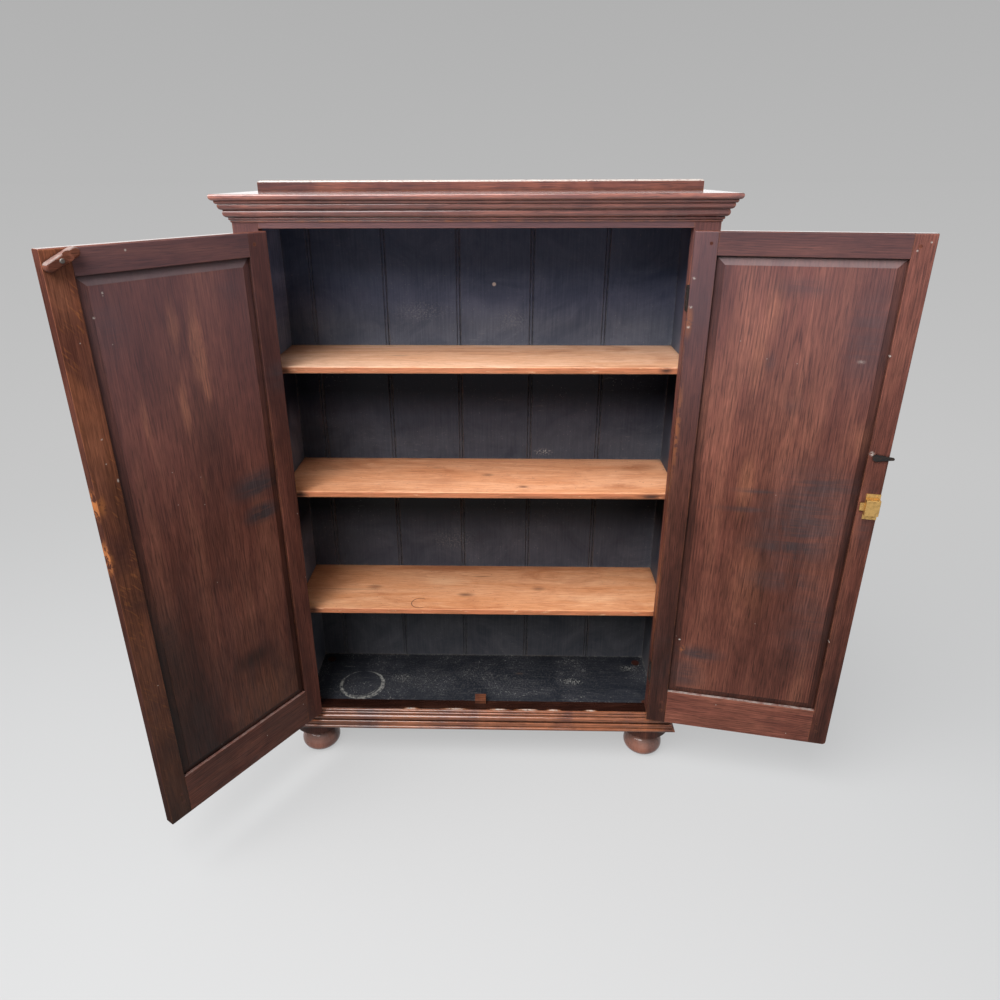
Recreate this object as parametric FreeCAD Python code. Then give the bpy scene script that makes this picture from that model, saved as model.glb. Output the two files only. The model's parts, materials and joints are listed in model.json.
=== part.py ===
"""Low two-door kas cupboard with a reeded cornice, bun feet, three shelves and a boarded back.

Millimetres, +Z up. The origin is on the floor at the middle of the carcase's footprint, the front
looks along -Y. The doors are built shut and then swung open about their hinge pins.
"""
import FreeCAD, Part

import math
import os

from FreeCAD import Vector

# Carcase
carcase_width = 1010.0
carcase_depth = 270.0
foot_height = 106.0
bottom_rail_height = 50.0
opening_height = 1249.0
head_rail_height = 55.6
side_thickness = 21.0
frame_stile_width = 54.0
frame_stile_depth = 26.0
head_rail_depth = 20.0
bottom_rail_depth = 36.5
frame_tenon_length = 30.0
frame_tenon_thickness = 8.0
arris_radius = 1.2
floor_drop = 9.0
floor_thickness = 22.0
floor_housing_depth = 8.0

# Top board, cornice and upstand
top_board_thickness = 12.0
top_overhang = 31.0
nose_upper_radius = 3.5
nose_lower_radius = 7.0
cornice_height = 43.3
cornice_projection = 24.0
upstand_height = 23.0
upstand_thickness = 18.0
upstand_length = 1049.0
upstand_edge_radius = 6.0

# Matchboard back
back_board_thickness = 13.0
back_inset = 3.0
back_rebate_width = 10.0
matchboard_width = 182.5
first_board_width = 80.0
bead_width = 6.5
bead_depth = 3.0
quirk_width = 2.5
board_gap = 2.0
board_arris = 1.0
match_tongue_length = 6.0
match_tongue_thickness = 4.0

# Shelves and their bearers
shelf_thickness = 16.0
shelf_edge_radius = 3.0
shelf_front_gap = 3.0
lower_shelf_rise = 312.0
middle_shelf_rise = 646.5
upper_shelf_rise = 957.5
bearer_height = 22.0
bearer_thickness = 16.0
bearer_setback = 14.0

# Base moulding, feet and corner blocks
base_projection = 22.0
foot_radius = 54.0
foot_inset = 46.6
spigot_radius = 11.0
spigot_stand = 2.0
corner_block_size = 84.0

# Doors
door_thickness = 22.0
door_top_gap = 3.0
door_bottom_gap = 2.0
left_door_corner_radius = 2.5
right_door_corner_radius = 8.0
door_top_edge_radius = 3.5
hinge_gap = 2.0
meeting_gap = 2.0
left_door_open_angle = 123.9
right_door_open_angle = 169.3
hinge_stile_width = 47.0
left_meeting_stile_width = 49.0
right_meeting_stile_width = 42.0
door_top_rail_height = 48.0
door_bottom_rail_height = 101.0
door_tenon_length = 32.0
door_tenon_thickness = 7.0
panel_tongue_thickness = 6.6
panel_tongue_length = 8.0
panel_field_thickness = 15.4
panel_bevel_width = 18.0
panel_step = 1.0
peg_radius = 3.5
stop_block_width = 30.0
stop_block_depth = 27.0
stop_block_height = 12.0
stop_block_gap = 2.0

# Butt hinges
hinge_height = 50.0
hinge_inset = 138.0
pin_stand_off = 5.0
pin_radius = 2.0
pin_head_radius = 3.4
pin_head_height = 2.5
knuckle_radius = 4.5
knuckle_count = 5
leaf_thickness = 2.0
leaf_reach = 18.0
leaf_slack = 0.2
knuckle_play = 0.4

# Turn button on the left door
button_length = 64.0
button_width = 18.0
button_thickness = 14.0
button_edge_radius = 4.0
button_peg_gap = 2.56
button_drop = 20.0
button_shift = 4.0
button_saddle_reach = 13.0
button_saddle_radius = 9.0
button_saddle_depth = 3.5
button_tilt_angle = 26.0
button_screw_radius = 2.5
button_screw_head_radius = 4.2
button_screw_head_height = 2.2
button_screw_bite = 14.0

# Brass cupboard lock on the right door
lock_width = 29.5
lock_height = 61.0
lock_plate_rise = 1.5
lock_recess = 4.0
lock_box_height = 37.0
lock_box_rise = 12.0
lock_edge_radius = 1.5
lock_rise = 671.0
bolt_height = 18.0
bolt_thickness = 3.0
bolt_clearance = 1.0
bolt_setback = 1.0
bolt_tail = 9.5
keyhole_radius = 3.2
keyhole_drop = 12.0
key_pin_radius = 1.4
escutcheon_width = 22.0
escutcheon_height = 34.0
escutcheon_thickness = 1.2

# Iron latch on the right door, its rise measured from the lock's upper edge
latch_rise = 84.5
latch_panel_gap = 3.5
latch_spindle_radius = 4.0
tongue_length = 36.0
tongue_root_width = 15.0
tongue_tip_width = 6.0
tongue_thickness = 3.0
latch_knob_radius = 13.0
latch_knob_length = 27.0

# Fits
joint_fit = 0.2
running_fit = 0.05
sliding_fit = 0.2
moving_gap = 0.3
shelf_end_gap = 1.0
overrun = 5.0

# Moulding outlines, from the top down: projection share, height share and the curve's rise as a
# share of its chord. A positive rise swells outwards, a negative one hollows.
cornice_shares = (
    (0.98, 1.000, 0.00), (0.82, 0.845, 0.22), (0.77, 0.845, 0.00), (0.55, 0.580, 0.24),
    (0.49, 0.580, 0.00), (0.47, 0.545, 0.00), (0.25, 0.235, 0.26), (0.17, 0.235, 0.00),
    (0.13, 0.105, 0.24), (0.06, 0.105, 0.00), (0.05, 0.000, 0.15))
base_shares = (
    (0.12, 1.000, 0.00), (0.18, 0.870, 0.34), (0.24, 0.870, 0.00), (0.30, 0.735, 0.34),
    (0.30, 0.720, 0.00), (0.38, 0.400, 0.42), (0.38, 0.380, 0.00), (0.64, 0.380, 0.00),
    (0.80, 0.170, 0.12), (0.92, 0.170, 0.00), (0.92, 0.000, 0.42))

# Foot outline from the floor up: radius share, height share and rise share.
foot_shares = (
    (0.58, 0.000, 0.00), (0.66, 0.012, 0.20), (0.97, 0.200, 0.183), (0.80, 0.470, 0.078),
    (0.68, 0.520, 0.067), (0.66, 0.540, 0.00), (1.19, 0.765, -0.22), (1.25, 0.775, 0.00),
    (1.25, 1.000, 0.00))

# Latch knob outline from the door outwards: radius share, length share and rise share.
knob_shares = (
    (0.72, 0.00, 0.00), (0.72, 0.08, 0.00), (0.42, 0.26, -0.20), (0.42, 0.40, 0.00),
    (1.00, 0.68, 0.20), (0.86, 0.88, 0.16), (0.36, 1.00, 0.08), (0.00, 1.00, 0.00))

# Shares of a rail's height that its tenon takes, and of a joint's length where its pegs stand
tenon_height_share = 0.62
peg_length_share = 0.42
single_peg_shares = (0.5,)
double_peg_shares = (0.3, 0.7)
head_rounding_share = 0.85

# Narrowest rip of matchboard that still gets a board of its own
narrow_board_share = 0.3

# Levels and planes worked out from the sizes above
front = -carcase_depth / 2
back = carcase_depth / 2
half_width = carcase_width / 2
half_opening = half_width - frame_stile_width
half_inside = half_width - side_thickness
ledge_level = foot_height + bottom_rail_height
floor_level = ledge_level - floor_drop
spigot_length = floor_level + spigot_stand - foot_height
head_level = ledge_level + opening_height
top_underside = head_level + head_rail_height
top_level = top_underside + top_board_thickness
back_face = back - back_inset - back_board_thickness
door_bottom = ledge_level + door_bottom_gap
door_top = head_level - door_top_gap
door_width = half_opening - hinge_gap - meeting_gap / 2
door_inside = front + door_thickness
shelf_front = front + max(frame_stile_depth, door_thickness) + shelf_front_gap
pin_y = front - pin_stand_off
LEFT = -1
RIGHT = 1
UP = Vector(0, 0, 1)
INWARD = Vector(0, 1, 0)
OUTWARD = Vector(0, -1, 0)
parts = {}


def block(x0, x1, y0, y1, z0, z1):
    """A box between two opposite corners, given in any order."""
    corner = Vector(min(x0, x1), min(y0, y1), min(z0, z1))
    return Part.makeBox(abs(x1 - x0), abs(y1 - y0), abs(z1 - z0), corner)


def rod(radius, base, direction, length):
    return Part.makeCylinder(radius, length, base, direction)


def group(shapes):
    return Part.makeCompound(list(shapes))


def outline_face(rows, place):
    """A face from rows of (a, b, rise); each row's rise bends the side that ends at it."""
    edges = []
    for (a0, b0, _), (a1, b1, rise) in zip(rows, rows[1:] + rows[:1]):
        start = place(a0, b0)
        end = place(a1, b1)
        if rise:
            middle = place((a0 + a1) / 2 - rise * (b1 - b0), (b0 + b1) / 2 + rise * (a1 - a0))
            edges.append(Part.Arc(start, middle, end).toShape())
        else:
            edges.append(Part.makeLine(start, end))
    return Part.Face(Part.Wire(edges))


def turned(face, centre, axis):
    """A face spun right round an axis, as on a lathe."""
    piece = face.revolve(centre, axis, 360)
    if piece.Volume < 0:
        piece.reverse()
    return piece


def plan_prism(points, z0, z1):
    """An upright prism on a plan polygon."""
    corners = [Vector(x, y, z0) for x, y in points]
    return Part.Face(Part.makePolygon(corners + corners[:1])).extrude(Vector(0, 0, z1 - z0))


def edges_at(shape, test):
    return [edge for edge in shape.Edges if test(edge.BoundBox)]


def same(a, b):
    """True for two lengths that agree within a hundredth of the running fit."""
    return abs(a - b) < running_fit / 100


def softened(piece, test):
    """A piece with its arrises rubbed round, those whose box passes the test."""
    return piece.makeFillet(arris_radius, edges_at(piece, test))


def door_x(side, reach):
    """X of a point on a shut door, by its reach from the door's hinge edge."""
    return side * (half_opening - hinge_gap - reach)


def pin_x(side):
    return side * (half_opening - hinge_gap / 2)


def swing(shape, side):
    """Open a shut door's piece to where the door stands."""
    angle = {LEFT: -left_door_open_angle, RIGHT: right_door_open_angle}[side]
    shape.rotate(Vector(pin_x(side), pin_y, 0), UP, angle)
    return shape


def hinge_levels():
    return (door_bottom + hinge_inset, door_top - hinge_inset)


def leaf_recess(side, wall_x, away, z_middle):
    """The shallow recess that a hinge leaf beds in, cut into an edge at wall_x."""
    depth = leaf_slack / 2 + leaf_thickness - hinge_gap / 2 + running_fit
    half = hinge_height / 2 + running_fit
    return block(wall_x - away * overrun, wall_x + away * depth, front - overrun,
                 front + leaf_reach + running_fit, z_middle - half, z_middle + half)


# Face frame, sides, floor and back

def frame_stile(side):
    outer = side * half_width
    inner = side * half_opening
    stile = block(outer, inner, front, front + frame_stile_depth, foot_height, top_underside)
    stile = softened(stile, lambda box: same(box.XMin, inner) and same(box.XMax, inner)
                     and same(box.YMax, front))
    for rail_bottom, rail_height in ((foot_height, bottom_rail_height), (head_level, head_rail_height)):
        stile = stile.cut(rail_tenon(side, rail_bottom, rail_height, joint_fit))
    for level in hinge_levels():
        stile = stile.cut(leaf_recess(side, inner, side, level))
    return stile


def rail_tenon(side, rail_bottom, rail_height, fit):
    """The tenon of a face frame rail, or with a fit its mortise."""
    height = rail_height * tenon_height_share
    z_middle = rail_bottom + rail_height / 2
    y_middle = front + head_rail_depth / 2
    root = side * half_opening
    tip = side * (half_opening + frame_tenon_length + fit)
    if fit:
        root = root - side * overrun
    return block(root, tip, y_middle - frame_tenon_thickness / 2 - fit,
                 y_middle + frame_tenon_thickness / 2 + fit,
                 z_middle - height / 2 - fit, z_middle + height / 2 + fit)


def frame_rail(bottom, height, depth):
    rail = block(-half_opening, half_opening, front, front + depth, bottom, bottom + height)
    sight = head_level if same(bottom, head_level) else ledge_level
    rail = softened(rail, lambda box: same(box.ZMin, sight) and same(box.ZMax, sight)
                    and same(box.YMax, front))
    tenons = [rail_tenon(side, bottom, height, 0) for side in (LEFT, RIGHT)]
    return rail.fuse(tenons).removeSplitter()


def side_board(side):
    inner = side * half_inside
    board = block(side * half_width, inner, front + frame_stile_depth, back, foot_height, top_underside)
    rebate = block(inner - side * overrun, inner + side * back_rebate_width, back_face,
                   back + overrun, foot_height - overrun, top_underside + overrun)
    housing = block(inner - side * overrun, inner + side * (floor_housing_depth + joint_fit),
                    front, back + overrun, floor_level - floor_thickness, floor_level)
    return board.cut(rebate.fuse(housing))


def floor_board():
    reach = half_inside + floor_housing_depth
    board = block(-reach, reach, front + bottom_rail_depth, back_face,
                  floor_level - floor_thickness, floor_level)
    return bore_for_spigots(board)


def match_board(x0, x1, has_groove, has_tongue):
    """One upright board of the back: groove at its left edge, bead, quirk and tongue at its right."""
    y0 = back_face
    y1 = back_face + back_board_thickness
    y_middle = y0 + back_board_thickness / 2
    tongue = match_tongue_thickness / 2
    slot = tongue + joint_fit
    rows = [(x0, y0 + board_arris, 0), (x0 + board_arris, y0, 0)] if has_groove else [(x0, y0, 0)]
    if has_tongue:
        edge = x1 - board_gap
        tip = x1 + match_tongue_length - joint_fit
        bead_start = edge - bead_width
        rows += [(bead_start - quirk_width, y0, 0), (bead_start, y0 + bead_depth, 0),
                 (edge, y0 + bead_depth, -bead_depth / bead_width),
                 (edge, y_middle - tongue, 0), (tip, y_middle - tongue, 0),
                 (tip, y_middle + tongue, 0), (edge, y_middle + tongue, 0), (edge, y1, 0)]
    else:
        rows += [(x1, y0, 0), (x1, y1, 0)]
    rows.append((x0, y1, 0))
    if has_groove:
        floor_of_groove = x0 + match_tongue_length
        rows += [(x0, y_middle + slot, 0), (floor_of_groove, y_middle + slot, 0),
                 (floor_of_groove, y_middle - slot, 0), (x0, y_middle - slot, 0)]
    face = outline_face(rows, lambda x, y: Vector(x, y, foot_height))
    return face.extrude(Vector(0, 0, top_underside - foot_height))


def back_boards():
    """The first board is a narrow rip, the last one is cut to what is left."""
    reach = half_inside + back_rebate_width - joint_fit
    boards = (2 * reach - first_board_width) / matchboard_width
    count = 1 + max(1, math.ceil(boards - narrow_board_share))
    seams = [-reach + first_board_width + matchboard_width * i for i in range(count - 1)]
    edges = [-reach] + seams + [reach]
    for i in range(count):
        parts[f"back_board_{i + 1}"] = match_board(edges[i], edges[i + 1], i > 0, i < count - 1)


# Top board, mouldings, feet

def top_board():
    left = -half_width - top_overhang
    nose = front - top_overhang
    board = block(left, -left, nose, back, top_underside, top_level)

    def on_rim(box):
        return same(box.YMax, nose) or same(box.XMax, left) or same(box.XMin, -left)

    lower_radius = min(nose_lower_radius, top_board_thickness - nose_upper_radius - running_fit)
    for level, radius in ((top_level, nose_upper_radius), (top_underside, lower_radius)):
        rim = edges_at(board, lambda box: same(box.ZMin, level) and same(box.ZMax, level) and on_rim(box))
        board = board.makeFillet(radius, rim)
    return board


def upstand():
    piece = block(-upstand_length / 2, upstand_length / 2, back - upstand_thickness, back,
                  top_level, top_level + upstand_height)
    rim = edges_at(piece, lambda box: same(box.ZMin, top_level + upstand_height))
    return piece.makeFillet(upstand_edge_radius, rim)


def moulding_rows(shares, projection, height, bottom):
    rows = [(out * projection, bottom + rise * height, bend) for out, rise, bend in shares]
    return [(0, bottom, 0), (0, bottom + height, 0)] + rows


def mouldings(name, shares, projection, height, bottom):
    """Front and two side runs of a moulding, mitred at the front corners."""
    rows = moulding_rows(shares, projection, height, bottom)
    reach = projection + overrun
    far = half_width + reach
    run = outline_face(rows, lambda out, z: Vector(-far, front - out, z)).extrude(Vector(2 * far, 0, 0))
    mitre = plan_prism(((-half_width, front), (half_width, front), (far, front - reach),
                        (-far, front - reach)), bottom - overrun, bottom + height + overrun)
    parts[name + "_front"] = run.common(mitre)
    for side, label in ((LEFT, "_left"), (RIGHT, "_right")):
        face = outline_face(rows, lambda out, z: Vector(side * (half_width + out), front - reach, z))
        run = face.extrude(Vector(0, carcase_depth + reach, 0))
        mitre = plan_prism(((side * half_width, front), (side * far, front - reach),
                            (side * far, back), (side * half_width, back)),
                           bottom - overrun, bottom + height + overrun)
        parts[name + label] = run.common(mitre)


def foot_centre(side, depth_side):
    return side * (half_width - foot_inset), depth_side * (carcase_depth / 2 - foot_inset)


def bun_foot(side, depth_side):
    x, y = foot_centre(side, depth_side)
    rows = [(0, 0, 0)] + [(r * foot_radius, h * foot_height, bend) for r, h, bend in foot_shares]
    rows += [(spigot_radius, foot_height, 0), (spigot_radius, foot_height + spigot_length, 0),
             (0, foot_height + spigot_length, 0)]
    rows = [(r, h, -bend) for r, h, bend in rows]
    face = outline_face(rows, lambda r, z: Vector(x + r, y, z))
    return turned(face, Vector(x, y, 0), UP)


def bore_for_spigots(piece):
    """Cut the feet's spigots, with their fit, from a piece that they may reach."""
    for side in (LEFT, RIGHT):
        for depth_side in (LEFT, RIGHT):
            x, y = foot_centre(side, depth_side)
            piece = piece.cut(rod(spigot_radius + joint_fit, Vector(x, y, foot_height), UP,
                                  spigot_length + joint_fit))
    return piece


def corner_blocks():
    """Glued blocks under the floor that take the feet's spigots."""
    blocks = []
    for side in (LEFT, RIGHT):
        for depth_side in (LEFT, RIGHT):
            x, y = foot_centre(side, depth_side)
            wall_y = front + bottom_rail_depth if depth_side == LEFT else back_face
            piece = block(side * half_inside, side * (half_inside - corner_block_size), wall_y,
                          wall_y - depth_side * corner_block_size, foot_height,
                          floor_level - floor_thickness)
            hole = rod(spigot_radius + joint_fit, Vector(x, y, foot_height - overrun), UP,
                       floor_level - foot_height)
            blocks.append(piece.cut(hole))
    return group(blocks)


# Shelves

def shelf(rise):
    reach = half_inside - shelf_end_gap
    top = floor_level + rise
    board = block(-reach, reach, shelf_front, back_face, top - shelf_thickness, top)
    rim = edges_at(board, lambda box: same(box.YMax, shelf_front) and same(box.ZMin, box.ZMax))
    return board.makeFillet(shelf_edge_radius, rim)


def shelf_bearers(side):
    bearers = []
    for rise in (lower_shelf_rise, middle_shelf_rise, upper_shelf_rise):
        top = floor_level + rise - shelf_thickness
        bearers.append(block(side * half_inside, side * (half_inside - bearer_thickness),
                             shelf_front + bearer_setback, back_face, top - bearer_height, top))
    return group(bearers)


def stop_block():
    """A block notched over the back edge of the bottom rail, which both doors shut against."""
    y0 = door_inside + stop_block_gap
    y1 = y0 + stop_block_depth
    half = stop_block_width / 2
    rail_back = front + bottom_rail_depth
    top = block(-half, half, y0, y1, ledge_level, ledge_level + stop_block_height)
    heel = block(-half, half, rail_back, y1, floor_level, ledge_level)
    crown = ledge_level + stop_block_height
    return softened(top.fuse(heel).removeSplitter(), lambda box: same(box.ZMin, crown))


# Doors

def meeting_width(side):
    return {LEFT: left_meeting_stile_width, RIGHT: right_meeting_stile_width}[side]


def door_rails():
    """Bottom level, height and peg places of the two rails."""
    return (("bottom", door_bottom, door_bottom_rail_height, double_peg_shares),
            ("top", door_top - door_top_rail_height, door_top_rail_height, single_peg_shares))


def door_joints(side):
    """Each tenon as (shoulder reach, direction of the tenon, rail bottom, rail height, peg shares)."""
    shoulders = ((hinge_stile_width, -1), (door_width - meeting_width(side), 1))
    return [(reach, way, bottom, height, pegs) for _, bottom, height, pegs in door_rails()
            for reach, way in shoulders]


def tenon_height(rail_height):
    """Height of a door rail's tenon, its haunches clear of the panel's groove."""
    haunch = max(rail_height * (1 - tenon_height_share) / 2, panel_tongue_length + 2 * joint_fit)
    return rail_height - 2 * haunch


def door_tenon(side, joint, fit):
    reach, way, bottom, height, _ = joint
    y_middle = front + door_thickness / 2
    z_middle = bottom + height / 2
    half_tall = tenon_height(height) / 2 + fit
    half_thick = door_tenon_thickness / 2 + fit
    root = reach - way * overrun if fit else reach
    return block(door_x(side, root), door_x(side, reach + way * (door_tenon_length + fit)),
                 y_middle - half_thick, y_middle + half_thick,
                 z_middle - half_tall, z_middle + half_tall)


def joint_pegs(side, joint, radius, run_out):
    reach, way, bottom, height, shares = joint
    x = door_x(side, reach + way * door_tenon_length * peg_length_share)
    tall = tenon_height(height)
    low = bottom + (height - tall) / 2
    return [rod(radius, Vector(x, front - run_out, low + tall * share), INWARD,
                door_thickness + 2 * run_out) for share in shares]


def panel_groove(side):
    """The space of the groove that runs round a door's frame for its panel."""
    fit = panel_tongue_length + joint_fit
    half = panel_tongue_thickness / 2 + joint_fit
    y_middle = front + door_thickness / 2
    return block(door_x(side, hinge_stile_width - fit),
                 door_x(side, door_width - meeting_width(side) + fit),
                 y_middle - half, y_middle + half, door_bottom + door_bottom_rail_height - fit,
                 door_top - door_top_rail_height + fit)


def rounded_top(piece):
    """A door's piece with its upper edges worn round along both faces."""
    rim = edges_at(piece, lambda box: same(box.ZMin, door_top) and same(box.YMin, box.YMax))
    return piece.makeFillet(door_top_edge_radius, rim)


def door_stile(side, reach_0, reach_1):
    """A stile with soft arrises, its top worn rounder, and on a meeting stile its lower corner too."""
    stile = block(door_x(side, reach_0), door_x(side, reach_1), front, door_inside, door_bottom, door_top)
    if reach_0:
        free = door_x(side, reach_1)
        radius = {LEFT: left_door_corner_radius, RIGHT: right_door_corner_radius}[side]
        corner = edges_at(stile, lambda box: same(box.XMin, free) and same(box.XMax, free)
                          and same(box.ZMax, door_bottom))
        stile = stile.makeFillet(radius, corner)
    stile = softened(rounded_top(stile),
                     lambda box: same(box.XMin, box.XMax) or same(box.ZMax, door_bottom))
    stile = stile.cut(panel_groove(side))
    for joint in door_joints(side):
        stile = stile.cut(door_tenon(side, joint, joint_fit))
        for hole in joint_pegs(side, joint, peg_radius + running_fit, overrun):
            stile = stile.cut(hole)
    return stile


def hinge_stile(side):
    stile = door_stile(side, 0, hinge_stile_width)
    for level in hinge_levels():
        stile = stile.cut(leaf_recess(side, door_x(side, 0), -side, level))
    return stile


def door_rail(side, bottom, height):
    rail = block(door_x(side, hinge_stile_width), door_x(side, door_width - meeting_width(side)),
                 front, door_inside, bottom, bottom + height)
    rail = softened(rail, lambda box: same(box.YMin, box.YMax) and same(box.ZMin, box.ZMax)
                    and not same(box.ZMin, door_top))
    if same(bottom + height, door_top):
        rail = rounded_top(rail)
    rail = rail.cut(panel_groove(side))
    joints = [joint for joint in door_joints(side) if joint[2] == bottom]
    rail = rail.fuse([door_tenon(side, joint, 0) for joint in joints]).removeSplitter()
    for joint in joints:
        for hole in joint_pegs(side, joint, peg_radius + running_fit, overrun):
            rail = rail.cut(hole)
    if side == LEFT:
        rail = rail.cut(button_screw_shank(overrun, running_fit))
    return rail


def rectangle(side, inset, y):
    """A rectangle inside a door's panel opening, set in from the frame all round."""
    x0 = door_x(side, hinge_stile_width + inset)
    x1 = door_x(side, door_width - meeting_width(side) - inset)
    z0 = door_bottom + door_bottom_rail_height + inset
    z1 = door_top - door_top_rail_height - inset
    corners = [Vector(x0, y, z0), Vector(x1, y, z0), Vector(x1, y, z1), Vector(x0, y, z1)]
    return Part.makePolygon(corners + corners[:1])


def door_panel(side):
    """A panel fielded on both faces, its thin tongue held loose in the grooves."""
    y_middle = front + door_thickness / 2
    half_tongue = panel_tongue_thickness / 2
    tongue = Part.Face(rectangle(side, -panel_tongue_length, y_middle - half_tongue))
    panel = tongue.extrude(INWARD * panel_tongue_thickness)
    rise = (panel_field_thickness - panel_tongue_thickness) / 2 - panel_step
    for way in (-1, 1):
        root = y_middle + way * half_tongue
        crest = root + way * rise
        bevel = Part.makeLoft([rectangle(side, joint_fit, root),
                               rectangle(side, panel_bevel_width, crest)], True, True)
        field = Part.Face(rectangle(side, panel_bevel_width, crest)).extrude(INWARD * (way * panel_step))
        panel = panel.fuse([bevel, field])
    return panel.removeSplitter()


def door_frame_parts(side, label):
    pegs = []
    for joint in door_joints(side):
        pegs += joint_pegs(side, joint, peg_radius, 0)
    parts[label + "_hinge_stile"] = swing(hinge_stile(side), side)
    if side == LEFT:
        meeting = left_meeting_stile()
    else:
        meeting = right_meeting_stile()
    parts[label + "_meeting_stile"] = swing(meeting, side)
    for name, bottom, height, _ in door_rails():
        parts[f"{label}_{name}_rail"] = swing(door_rail(side, bottom, height), side)
    parts[label + "_panel"] = swing(door_panel(side), side)
    parts[label + "_pegs"] = swing(group(pegs), side)


def left_meeting_stile():
    stile = door_stile(LEFT, door_width - left_meeting_stile_width, door_width)
    return stile.cut(button_screw_shank(overrun, running_fit))


def right_meeting_stile():
    stile = door_stile(RIGHT, door_width - right_meeting_stile_width, door_width)
    stile = stile.cut(lock_pocket()).cut(latch_bore())
    return stile.cut(keyhole(door_thickness + overrun))


# Hinges

def knuckle_spans(z_middle):
    """Level and owner of each knuckle, bottom up; the frame's leaf has the outer ones."""
    pitch = hinge_height / knuckle_count
    bottom = z_middle - hinge_height / 2
    return [(bottom + pitch * i, pitch, i % 2 == 0) for i in range(knuckle_count)]


def hinge_leaf(side, z_middle, on_frame):
    x = pin_x(side)
    way = side if on_frame else -side
    near = x + way * leaf_slack / 2
    half = hinge_height / 2
    axis = Vector(x, pin_y, 0)
    leaf = block(near, near + way * leaf_thickness, pin_y, front + leaf_reach,
                 z_middle - half, z_middle + half)
    barrels = []
    for bottom, pitch, of_frame in knuckle_spans(z_middle):
        base = axis + UP * bottom
        if of_frame == on_frame:
            barrels.append(rod(knuckle_radius, base, UP, pitch))
        else:
            gap = knuckle_play / 2
            leaf = leaf.cut(rod(knuckle_radius + knuckle_play, base - UP * gap, UP, pitch + knuckle_play))
    leaf = leaf.fuse(barrels)
    for bottom, pitch, of_frame in knuckle_spans(z_middle):
        if of_frame != on_frame:
            gap = knuckle_play / 2
            clear = rod(knuckle_radius + knuckle_play, axis + UP * (bottom - gap), UP,
                        pitch + knuckle_play)
            leaf = leaf.cut(clear)
    bore = rod(pin_radius + running_fit, axis + UP * (z_middle - half - overrun), UP,
               hinge_height + 2 * overrun)
    return leaf.cut(bore).removeSplitter()


def hinge_pin(side, z_middle):
    axis = Vector(pin_x(side), pin_y, 0)
    half = hinge_height / 2
    pin = rod(pin_radius, axis + UP * (z_middle - half), UP, hinge_height)
    heads = [rod(pin_head_radius, axis + UP * level, UP, pin_head_height)
             for level in (z_middle - half - pin_head_height, z_middle + half)]
    return pin.fuse(heads).removeSplitter()


def hinges(side, label):
    levels = hinge_levels()
    parts[label + "_hinge_frame_leaves"] = group(hinge_leaf(side, z, True) for z in levels)
    parts[label + "_hinge_door_leaves"] = swing(group(hinge_leaf(side, z, False) for z in levels), side)
    parts[label + "_hinge_pins"] = group(hinge_pin(side, z) for z in levels)


# Turn button

def button_pivot():
    peg_reach = door_width - left_meeting_stile_width + door_tenon_length * peg_length_share
    reach = peg_reach + peg_radius + button_peg_gap + button_screw_radius
    return Vector(door_x(LEFT, reach), door_inside, door_top - button_drop)


def button_screw_shank(rise, fit):
    """The screw's shank from its bite in the door to a rise above its face, or with a fit its hole."""
    bite = button_screw_bite + fit
    return rod(button_screw_radius + fit, button_pivot() - INWARD * bite, INWARD, bite + rise)


def turn_button():
    """A whittled bar with rounded ends that turns behind the head rail."""
    pivot = button_pivot()
    half = (button_length - button_width) / 2
    middle = pivot.x - button_shift
    y0 = door_inside + moving_gap
    y1 = y0 + button_thickness
    bar = block(middle - half, middle + half, y0, y1,
                pivot.z - button_width / 2, pivot.z + button_width / 2)
    ends = [rod(button_width / 2, Vector(middle + way * half, y0, pivot.z), INWARD, button_thickness)
            for way in (-1, 1)]
    bar = bar.fuse(ends).removeSplitter()
    rim = edges_at(bar, lambda box: same(box.YMin, y1))
    bar = bar.makeFillet(button_edge_radius, rim)
    saddle = Vector(pivot.x - button_saddle_reach, y1 + button_saddle_radius - button_saddle_depth,
                    pivot.z - button_width)
    bar = bar.cut(rod(button_saddle_radius, saddle, UP, 2 * button_width))
    hole = rod(button_screw_radius + running_fit, pivot - INWARD * overrun, INWARD,
               button_thickness + 2 * overrun)
    bar = bar.cut(hole)
    bar.rotate(pivot, INWARD, button_tilt_angle)
    return bar


def button_screw():
    """A round-headed screw that holds the button just clear of the stile."""
    rise = button_thickness + 2 * moving_gap
    crown = door_inside + rise + button_screw_head_height
    head = rod(button_screw_head_radius, button_pivot() + INWARD * rise, INWARD, button_screw_head_height)
    rim = edges_at(head, lambda box: same(box.YMin, crown))
    head = head.makeFillet(button_screw_head_height * head_rounding_share, rim)
    return button_screw_shank(rise, 0).fuse(head).removeSplitter()


# Lock

def lock_middle():
    return door_bottom + lock_rise


def lock_plate(fit):
    """The lock's plate, or with a fit the pocket it beds in."""
    near = door_x(RIGHT, door_width - lock_width - fit)
    far = door_x(RIGHT, door_width + (overrun if fit else 0))
    y0 = door_inside - lock_recess - fit
    y1 = door_inside + lock_plate_rise + (overrun if fit else 0)
    half = lock_height / 2 + fit
    return block(near, far, y0, y1, lock_middle() - half, lock_middle() + half)


def lock_pocket():
    return lock_plate(running_fit)


def keyhole(depth):
    """A keyhole's round and ward slot, cut through from the front of the door."""
    x = door_x(RIGHT, door_width - lock_width / 2)
    z = lock_middle() - bolt_height
    base = Vector(x, front - overrun, z)
    slot = block(x - keyhole_radius / 2, x + keyhole_radius / 2, front - overrun, front + depth,
                 z - keyhole_drop, z)
    return rod(keyhole_radius, base, INWARD, depth + overrun).fuse(slot)


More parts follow.
